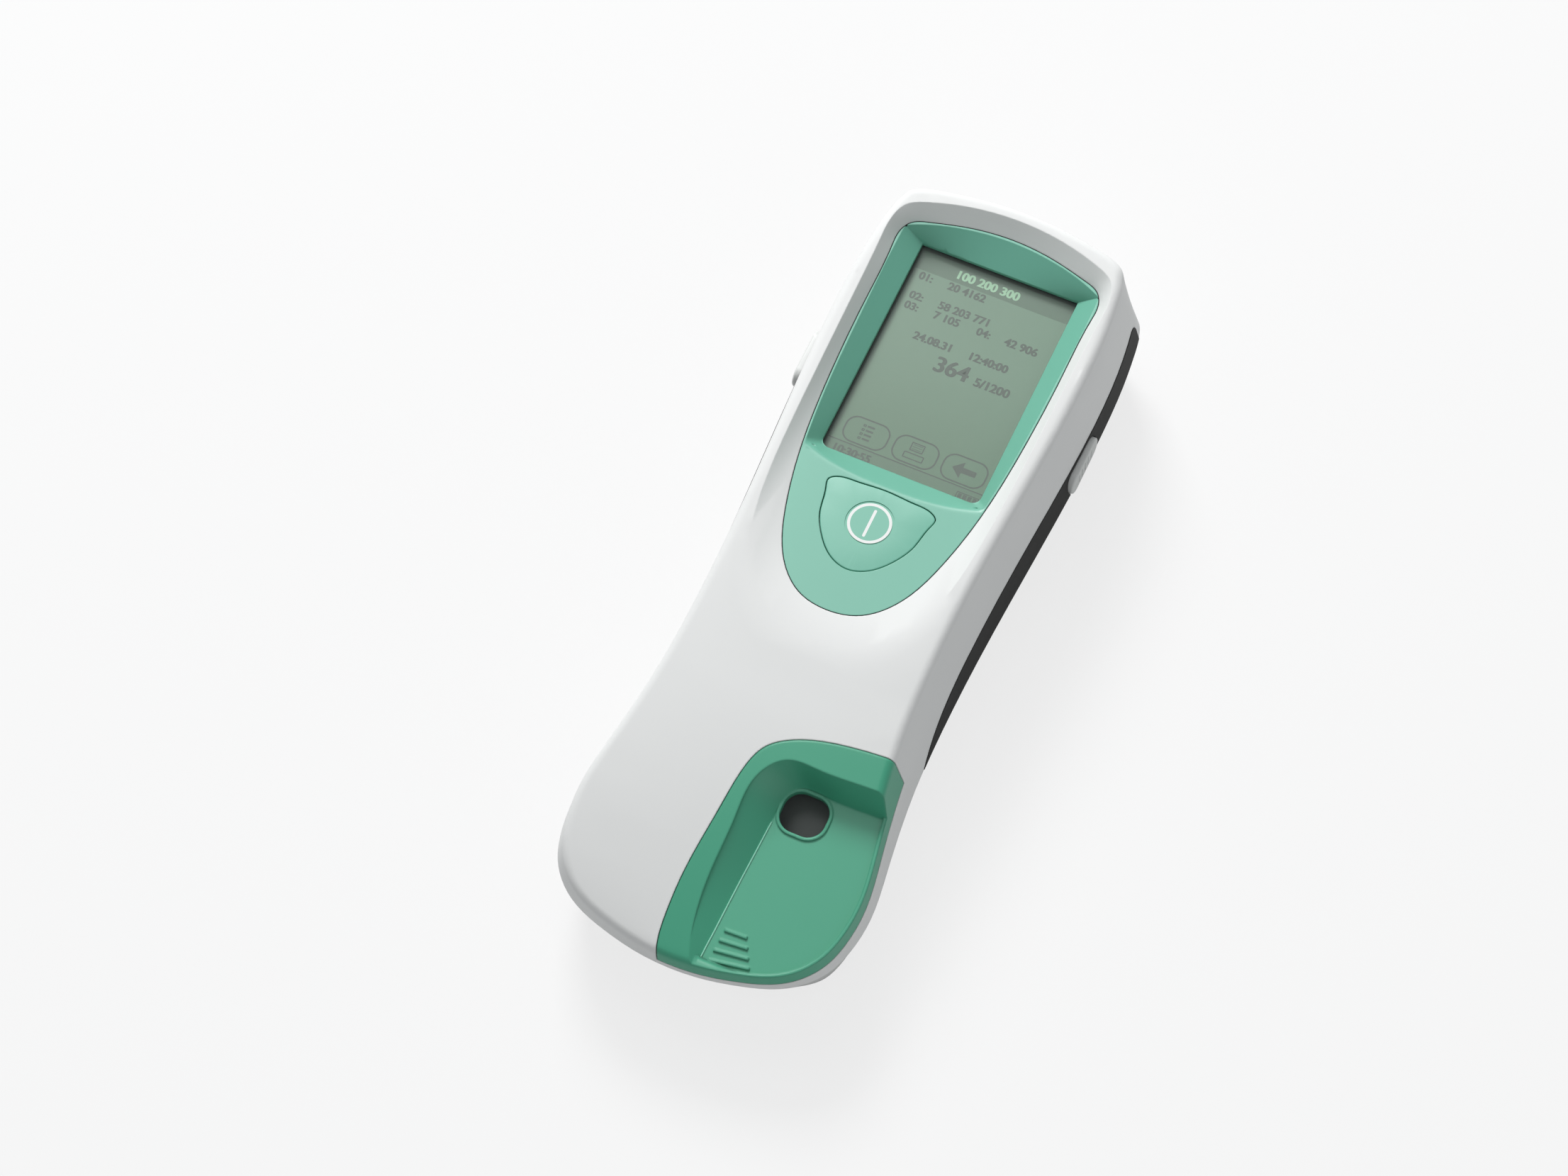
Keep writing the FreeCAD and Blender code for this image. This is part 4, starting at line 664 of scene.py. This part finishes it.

# %% [markdown]
# ## The display
#
# A reflective display is a matt green-grey field with darker ink a hair above it. Its bars
# belong to the surface. The dark line round the field is partly its own dark edge and partly
# painted shadow, for it is wider on the left and head sides, and the shade that the window's
# edge casts on those sides is painted shadow too. The panel is a rounded slab whose finish
# paints all of these by their place on the reader, in millimetres. What the display shows is
# real geometry: plain numbers, outlined touch buttons with simple signs, and a battery sign.

# %% The display field with its bars, border and edge shade
# Places and widths are in millimetres. A share is how far a bar or a shade covers the field.
panel_low, panel_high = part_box("lcd_panel")
PANEL_MIDDLE = ((panel_low.x + panel_high.x) / 2 / MM, (panel_low.y + panel_high.y) / 2 / MM)
WINDOW_LENGTH, WINDOW_RIGHT = 80.8, 27.4
WINDOW_HEAD = PANEL_MIDDLE[1] + WINDOW_LENGTH / 2
HEADER_FOOT, HEADER_HEAD, STATUS_TOP = 110.2, 120.0, 42.4
HEADER_SHARE, STATUS_SHARE = 0.85, 0.5
FIELD_DARK, FIELD_LIGHT = srgb(90, 129, 102), srgb(98, 137, 109)
FIELD_AT_FOOT = srgb(70, 114, 80)
HEADER_BAR, STATUS_BAR = srgb(40, 84, 54), srgb(62, 100, 72)
FOOT_END, FOOT_REACH = 40.0, 90.0
# Painted shadow: the window's edge shades the field this far in on the left and head sides.
SHADE_WIDE_LEFT, SHADE_WIDE_HEAD, SHADE_SHARE = 2.6, 1.8, 0.75
# The dark border is wider on the left and head sides, where part of it is painted shadow.
BORDER_THICK_WITH_SHADOW, BORDER_THIN = 0.5, 0.3
EDGE_SHADE, BORDER_AND_SHADOW = srgb(44, 66, 54), srgb(26, 38, 32)
print("window", 2 * WINDOW_RIGHT, "by", WINDOW_LENGTH, "mm")


def display_panel_finish():
    """The matt field, darker towards the foot end, and what is painted on it."""
    finish = Finish("display panel")
    axes = finish.node("ShaderNodeSeparateXYZ", {}, {0: finish.place})
    across, along = axes["X"] * (1.0 / MM), axes["Y"] * (1.0 / MM)
    header = (along > HEADER_FOOT) * (1.0 - (along > HEADER_HEAD))
    status = 1.0 - (along > STATUS_TOP)
    field = finish.mix(finish.noise(26.0, 2.0), FIELD_DARK, FIELD_LIGHT)
    field = finish.mix(finish.fade(along, FOOT_END, FOOT_REACH), field, FIELD_AT_FOOT)
    field = finish.mix(header * HEADER_SHARE, field, HEADER_BAR)
    field = finish.mix(status * STATUS_SHARE, field, STATUS_BAR)
    # Painted shadow of the window's edge, darkening the field on the left and head sides.
    left_shade = finish.fade(across, -WINDOW_RIGHT, SHADE_WIDE_LEFT - WINDOW_RIGHT)
    head_shade = finish.fade(along, WINDOW_HEAD, WINDOW_HEAD - SHADE_WIDE_HEAD)
    field = finish.mix(left_shade * SHADE_SHARE, field, EDGE_SHADE)
    field = finish.mix(head_shade * SHADE_SHARE, field, EDGE_SHADE)
    # A dark border round the field; on the left and head sides it is wider, partly painted shadow.
    inside = ((across > BORDER_THICK_WITH_SHADOW - WINDOW_RIGHT)
              * (1.0 - (across > WINDOW_RIGHT - BORDER_THIN))
              * (along > WINDOW_HEAD - WINDOW_LENGTH + BORDER_THIN)
              * (1.0 - (along > WINDOW_HEAD - BORDER_THICK_WITH_SHADOW)))
    field = finish.mix(inside, BORDER_AND_SHADOW, field)
    pixels = finish.noise(0.3, 1.0)
    return finish.shader(
        Base_Color=field, Roughness=(pixels - 0.5) * 0.08 + 0.42,
        Normal=finish.bump(pixels, 0.1, 0.004))


# %% The panel as a rounded slab
# The corners in turn, anticlockwise, each with its number of quarter turns.
QUARTERS = tuple(enumerate(((1, 1), (-1, 1), (-1, -1), (1, -1))))
PANEL_CORNER, PANEL_SUNK = 0.8, 0.06


def rounded_ring(width, length, corner, middle, steps, inset=0.0):
    """The points round a rectangle with rounded corners, in millimetres."""
    radius = corner - inset
    ring = []
    for quarter, (sx, sy) in QUARTERS:
        for step in range(steps + 1):
            angle = math.radians(90.0 * (quarter + step / steps))
            ring.append((middle[0] + sx * (width / 2 - corner) + radius * math.cos(angle),
                         middle[1] + sy * (length / 2 - corner) + radius * math.sin(angle)))
    return ring


def raised(outline, bottom, top):
    """A flat outline given a thickness, in millimetres, as a bmesh."""
    work = bmesh.new()
    face = work.faces.new([work.verts.new((x * MM, y * MM, bottom * MM)) for x, y in outline])
    grown = bmesh.ops.extrude_face_region(work, geom=[face], use_keep_orig=True)
    moved = [item for item in grown["geom"] if isinstance(item, bmesh.types.BMVert)]
    bmesh.ops.translate(work, verts=moved, vec=(0, 0, (top - bottom) * MM))
    bmesh.ops.recalc_face_normals(work, faces=work.faces)
    return work


PANEL_TOP = panel_high.z / MM - PANEL_SUNK
panel_ring = rounded_ring((panel_high.x - panel_low.x) / MM, (panel_high.y - panel_low.y) / MM,
                          PANEL_CORNER, PANEL_MIDDLE, 6)
panel = mesh_of(raised(panel_ring, panel_low.z / MM, PANEL_TOP), "display_panel")
finished("display_panel", panel, "housing", "lcd_face", display_panel_finish(), ["lcd_panel"])
print("panel top", round(PANEL_TOP, 2), "mm")

# %% [markdown]
# ## Signs and numbers on the display
#
# A display like this one shows dark segments a hair above its field. They could be an
# image, but an image blurs close up and has to be stored. Here every sign is a thin solid
# with its own height: bars, frames and an arrow are made from rounded outlines, and the
# numbers from Blender's own font, turned into a mesh before they are put in place.

# %% Signs in display ink
# Every sign lies on the panel. All sizes and places are in millimetres on the reader.
INK_HIGH = 0.03
INK_TOP = PANEL_TOP + INK_HIGH
ink_parts = []


def ink_shape(outline):
    """A filled sign."""
    ink_parts.append(mesh_of(raised(outline, PANEL_TOP, INK_TOP), "ink"))


def ink_bar(left, right, foot, head, corner=0.1):
    """A filled bar with rounded corners."""
    middle = ((left + right) / 2, (foot + head) / 2)
    ink_shape(rounded_ring(right - left, head - foot, corner, middle, 4))


def ink_outline(width, length, corner, middle, line):
    """A rounded frame: an outer ring of points joined to an inner one."""
    work = bmesh.new()
    rings = []
    for inset, level in ((0, PANEL_TOP), (0, INK_TOP), (line, INK_TOP), (line, PANEL_TOP)):
        ring = rounded_ring(width, length, corner, middle, 8, inset)
        rings.append([work.verts.new((x * MM, y * MM, level * MM)) for x, y in ring])
    for one, other in zip(rings, rings[1:] + rings[:1]):
        for i, start in enumerate(one):
            j = (i + 1) % len(one)
            work.faces.new((start, one[j], other[j], other[i]))
    bmesh.ops.recalc_face_normals(work, faces=work.faces)
    ink_parts.append(mesh_of(work, "ink"))


BUTTON_Y, BUTTON_WIDE, BUTTON_LONG, BUTTON_CORNER = 48.0, 15.3, 9.9, 3.9
LIST_BUTTON, NOTE_BUTTON, BACK_BUTTON = -16.1, 1.0, 18.0
for button_x in (LIST_BUTTON, NOTE_BUTTON, BACK_BUTTON):
    ink_outline(BUTTON_WIDE, BUTTON_LONG, BUTTON_CORNER, (button_x, BUTTON_Y), 0.55)
for row in range(4):
    row_y = BUTTON_Y - 2.7 + 1.6 * row
    ink_outline(1.0, 0.9, 0.2, (LIST_BUTTON - 1.5, row_y + 0.3), 0.3)
    ink_bar(LIST_BUTTON - 0.6, LIST_BUTTON + 1.9, row_y, row_y + 0.7)
ink_outline(7.0, 2.4, 0.4, (NOTE_BUTTON, BUTTON_Y - 1.9), 0.4)
ink_outline(4.6, 3.2, 0.3, (NOTE_BUTTON, BUTTON_Y + 1.6), 0.4)
for row in range(3):
    row_y = BUTTON_Y + 0.7 + 0.8 * row
    ink_bar(NOTE_BUTTON - 1.6, NOTE_BUTTON + 1.6, row_y, row_y + 0.2, 0.05)
ARROW = ((-4.2, 0), (-0.8, 3), (-0.8, 1), (4, 1), (4, -1), (-0.8, -1), (-0.8, -3))
ink_shape([(BACK_BUTTON + x, BUTTON_Y + y) for x, y in ARROW])
ink_bar(-27.2, 27.2, STATUS_TOP - 0.2, STATUS_TOP + 0.2, 0.05)
ink_outline(7.6, 2.6, 0.3, (22.6, 39.4), 0.3)
for cell in range(4):
    ink_bar(19.5 + 1.7 * cell, 20.7 + 1.7 * cell, 38.6, 40.2, 0.15)
print(len(ink_parts), "signs")

# %% Rows of plain numbers
# The font has one weight. A copy shifted a little to the right, and lifted so that the two
# tops don't lie in one plane, makes the digits bold.
FATTER, COPY_LIFT = 0.08, 0.02
NUMBERS = (
    ("10:30:55", -24.4, 38.3, 3.9, 0.2),
    ("01:", -24.4, 106.9, 3.9, 0.2), ("20 4162", -14.2, 106.9, 4.0, 0.2),
    ("02:", -24.4, 99.2, 3.9, 0.2), ("58 203 771", -14.2, 99.2, 4.0, 0.2),
    ("03:", -24.4, 95.2, 3.9, 0.2), ("7 105", -14.2, 95.2, 4.0, 0.2),
    ("04:", 1.0, 95.2, 3.9, 0.2), ("42 906", 10.8, 95.2, 4.1, 0.26),
    ("24.08.31", -17.1, 85.8, 4.0, 0.26), ("12:40:00", 2.1, 85.8, 4.0, 0.26),
    ("364", -6.8, 77.6, 8.0, 0.5), ("5/1200", 7.7, 77.6, 4.4, 0.26))


def ink_number(text, left, foot, size, bold):
    """Plain digits, flat on the panel, that start at left and stand on foot."""
    curve = bpy.data.curves.new("digits", "FONT")
    curve.body, curve.size, curve.offset = text, size * MM, FATTER * MM
    curve.extrude = INK_HIGH / 2 * MM
    writer = bpy.data.objects.new("digits", curve)
    bpy.context.scene.collection.objects.link(writer)
    bpy.context.view_layer.update()
    depsgraph = bpy.context.evaluated_depsgraph_get()
    mesh = bpy.data.meshes.new_from_object(writer.evaluated_get(depsgraph))
    bpy.data.objects.remove(writer)
    for copy, shift in ((mesh, 0.0), (mesh.copy(), bold)):
        level = PANEL_TOP + INK_HIGH / 2 + COPY_LIFT * shift
        copy.transform(Matrix.Translation(((left + shift) * MM, foot * MM, level * MM)))
        ink_parts.append(copy)


def ink_finish(name, colour):
    """Even ink with a faint haze."""
    finish = Finish(name)
    haze = finish.noise(8.0, 2.0)
    tint = finish.mix(haze, shade(colour, 0.94), shade(colour, 1.06))
    return finish.shader(Base_Color=tint, Roughness=0.45)


def ink_done(name, colour):
    """Joins the signs drawn so far into one piece of ink on the display."""
    drawn = joined(ink_parts, name)
    ink_parts.clear()
    finished(name, drawn, "housing", "lcd_face", ink_finish(name.replace("_", " "), colour))
    print(name, len(drawn.polygons), "faces")


for number in NUMBERS:
    ink_number(*number)
ink_done("display_ink", srgb(10, 44, 20))
ink_number("100 200 300", -13.6, 111.8, 4.4, 0.26)
ink_done("display_header_ink", srgb(156, 204, 166))

# %% [markdown]
# ## Parts that keep their own mesh
#
# Inside the shell the frame's plain parts are good enough in shape: boards, blocks and
# screws. They only need their finish, which goes into the slots they already have.

# %% Finishes for the parts inside
for name, node in frame["nodes"].items():
    if not node.hide_render:
        for slot in node.material_slots:
            slot.material = materials.get(slot_of_node[name]) or slot.material
print("inner parts painted")

# %% [markdown]
# ## Camera, floor and light
#
# The camera stands 1.6 m away with a long lens, above the foot end and a little to the
# right. The floor is white where the camera sees it and keeps a soft shadow. A soft box
# beyond the head end, to the left, lights the top and leaves the slopes that fall towards
# the right and the foot in shade, which is what makes the recess and the dish readable.
# Two weaker boxes and an even sky fill the rest, so that a colour renders about as it is
# written and the white shell keeps some tone.

# %% Camera
RIGHT = Vector((0.9083, 0.4172, -0.0306))
DOWN = Vector((0.3607, -0.8181, -0.4479))
FORWARD = Vector((-0.2119, 0.3958, -0.8936))
CAMERA_AT = Vector((0.30923, -0.62238, 1.41825))
SENSOR_MM, FOCUS_IN_WIDTHS = 36.0, 6915.0 / 2212.0
camera_data = bpy.data.cameras.new("camera")
camera_data.sensor_width = SENSOR_MM
camera_data.lens = FOCUS_IN_WIDTHS * SENSOR_MM
camera_data.clip_start, camera_data.clip_end = 0.1, 30.0
camera = bpy.data.objects.new("camera", camera_data)
bpy.context.scene.collection.objects.link(camera)
turn = Matrix((RIGHT, -DOWN, -FORWARD)).transposed()
camera.matrix_world = Matrix.Translation(CAMERA_AT) @ turn.to_4x4()
bpy.context.scene.camera = camera
print("lens", round(camera_data.lens, 1), "mm,", round(CAMERA_AT.length, 2), "m away")

# %% Floor
FLOOR_HALF, FLOOR_GLOW = 4.0, 0.75
floor_mesh = bpy.data.meshes.new("floor")
floor_corners = [(x * FLOOR_HALF, y * FLOOR_HALF, 0.0)
                 for x, y in ((-1, -1), (1, -1), (1, 1), (-1, 1))]
floor_mesh.from_pydata(floor_corners, [], [(0, 1, 2, 3)])
floor = bpy.data.objects.new("floor", floor_mesh)
bpy.context.scene.collection.objects.link(floor)

paper = Finish("floor paper")
rays = paper.node("ShaderNodeLightPath", {}, {})
matt = paper.node("ShaderNodeBsdfPrincipled", {}, {
    "Base Color": srgb(236, 236, 236), "Roughness": 0.9})["BSDF"]
glow = paper.node("ShaderNodeEmission", {}, {"Color": (1, 1, 1, 1), "Strength": 1.0})["Emission"]
blend = paper.node("ShaderNodeMixShader", {}, {
    0: rays["Is Camera Ray"] * FLOOR_GLOW, 1: matt, 2: glow})["Shader"]
paper_out = paper.tree.nodes.new("ShaderNodeOutputMaterial")
paper.tree.links.new(blend.socket, paper_out.inputs["Surface"])
floor_mesh.materials.append(paper.material)
print("floor", 2 * FLOOR_HALF, "m wide")

# %% Sky
SKY_STRENGTH = 0.27
world = bpy.data.worlds.new("studio")
bpy.context.scene.world = world
world.use_nodes = True
sky = world.node_tree
sky.nodes.clear()
rays_of_sky = sky.nodes.new("ShaderNodeLightPath")
even, white = sky.nodes.new("ShaderNodeBackground"), sky.nodes.new("ShaderNodeBackground")
even.inputs["Color"].default_value = (0.95, 0.98, 1.0, 1.0)
even.inputs["Strength"].default_value = SKY_STRENGTH
white.inputs["Color"].default_value = (1.0, 1.0, 1.0, 1.0)
choice, sky_out = sky.nodes.new("ShaderNodeMixShader"), sky.nodes.new("ShaderNodeOutputWorld")
for source, target in ((rays_of_sky.outputs["Is Camera Ray"], choice.inputs[0]),
                       (even.outputs[0], choice.inputs[1]),
                       (white.outputs[0], choice.inputs[2]),
                       (choice.outputs[0], sky_out.inputs["Surface"])):
    sky.links.new(source, target)
print("sky strength", SKY_STRENGTH)

# %% Soft boxes
# Each has its name, its place and its width in metres, and its power in watts.
AIM = Vector((0.0, 0.0, 0.03))
SOFT_BOXES = (
    ("key_box", (-0.9, 1.3, 1.35), 0.7, 33.5),
    ("top_box", (-0.6, 0.6, 1.9), 1.0, 6.0),
    ("side_box", (1.5, -0.7, 0.8), 1.0, 2.2))
for name, place, width, power in SOFT_BOXES:
    lamp = bpy.data.lights.new(name, "AREA")
    lamp.shape, lamp.size, lamp.energy = "SQUARE", width, power
    box = bpy.data.objects.new(name, lamp)
    bpy.context.scene.collection.objects.link(box)
    box.location = place
    box.rotation_mode = "QUATERNION"
    box.rotation_quaternion = (AIM - Vector(place)).to_track_quat("-Z", "Y")
bpy.context.scene.view_settings.view_transform = "Standard"
print(len(SOFT_BOXES), "soft boxes")
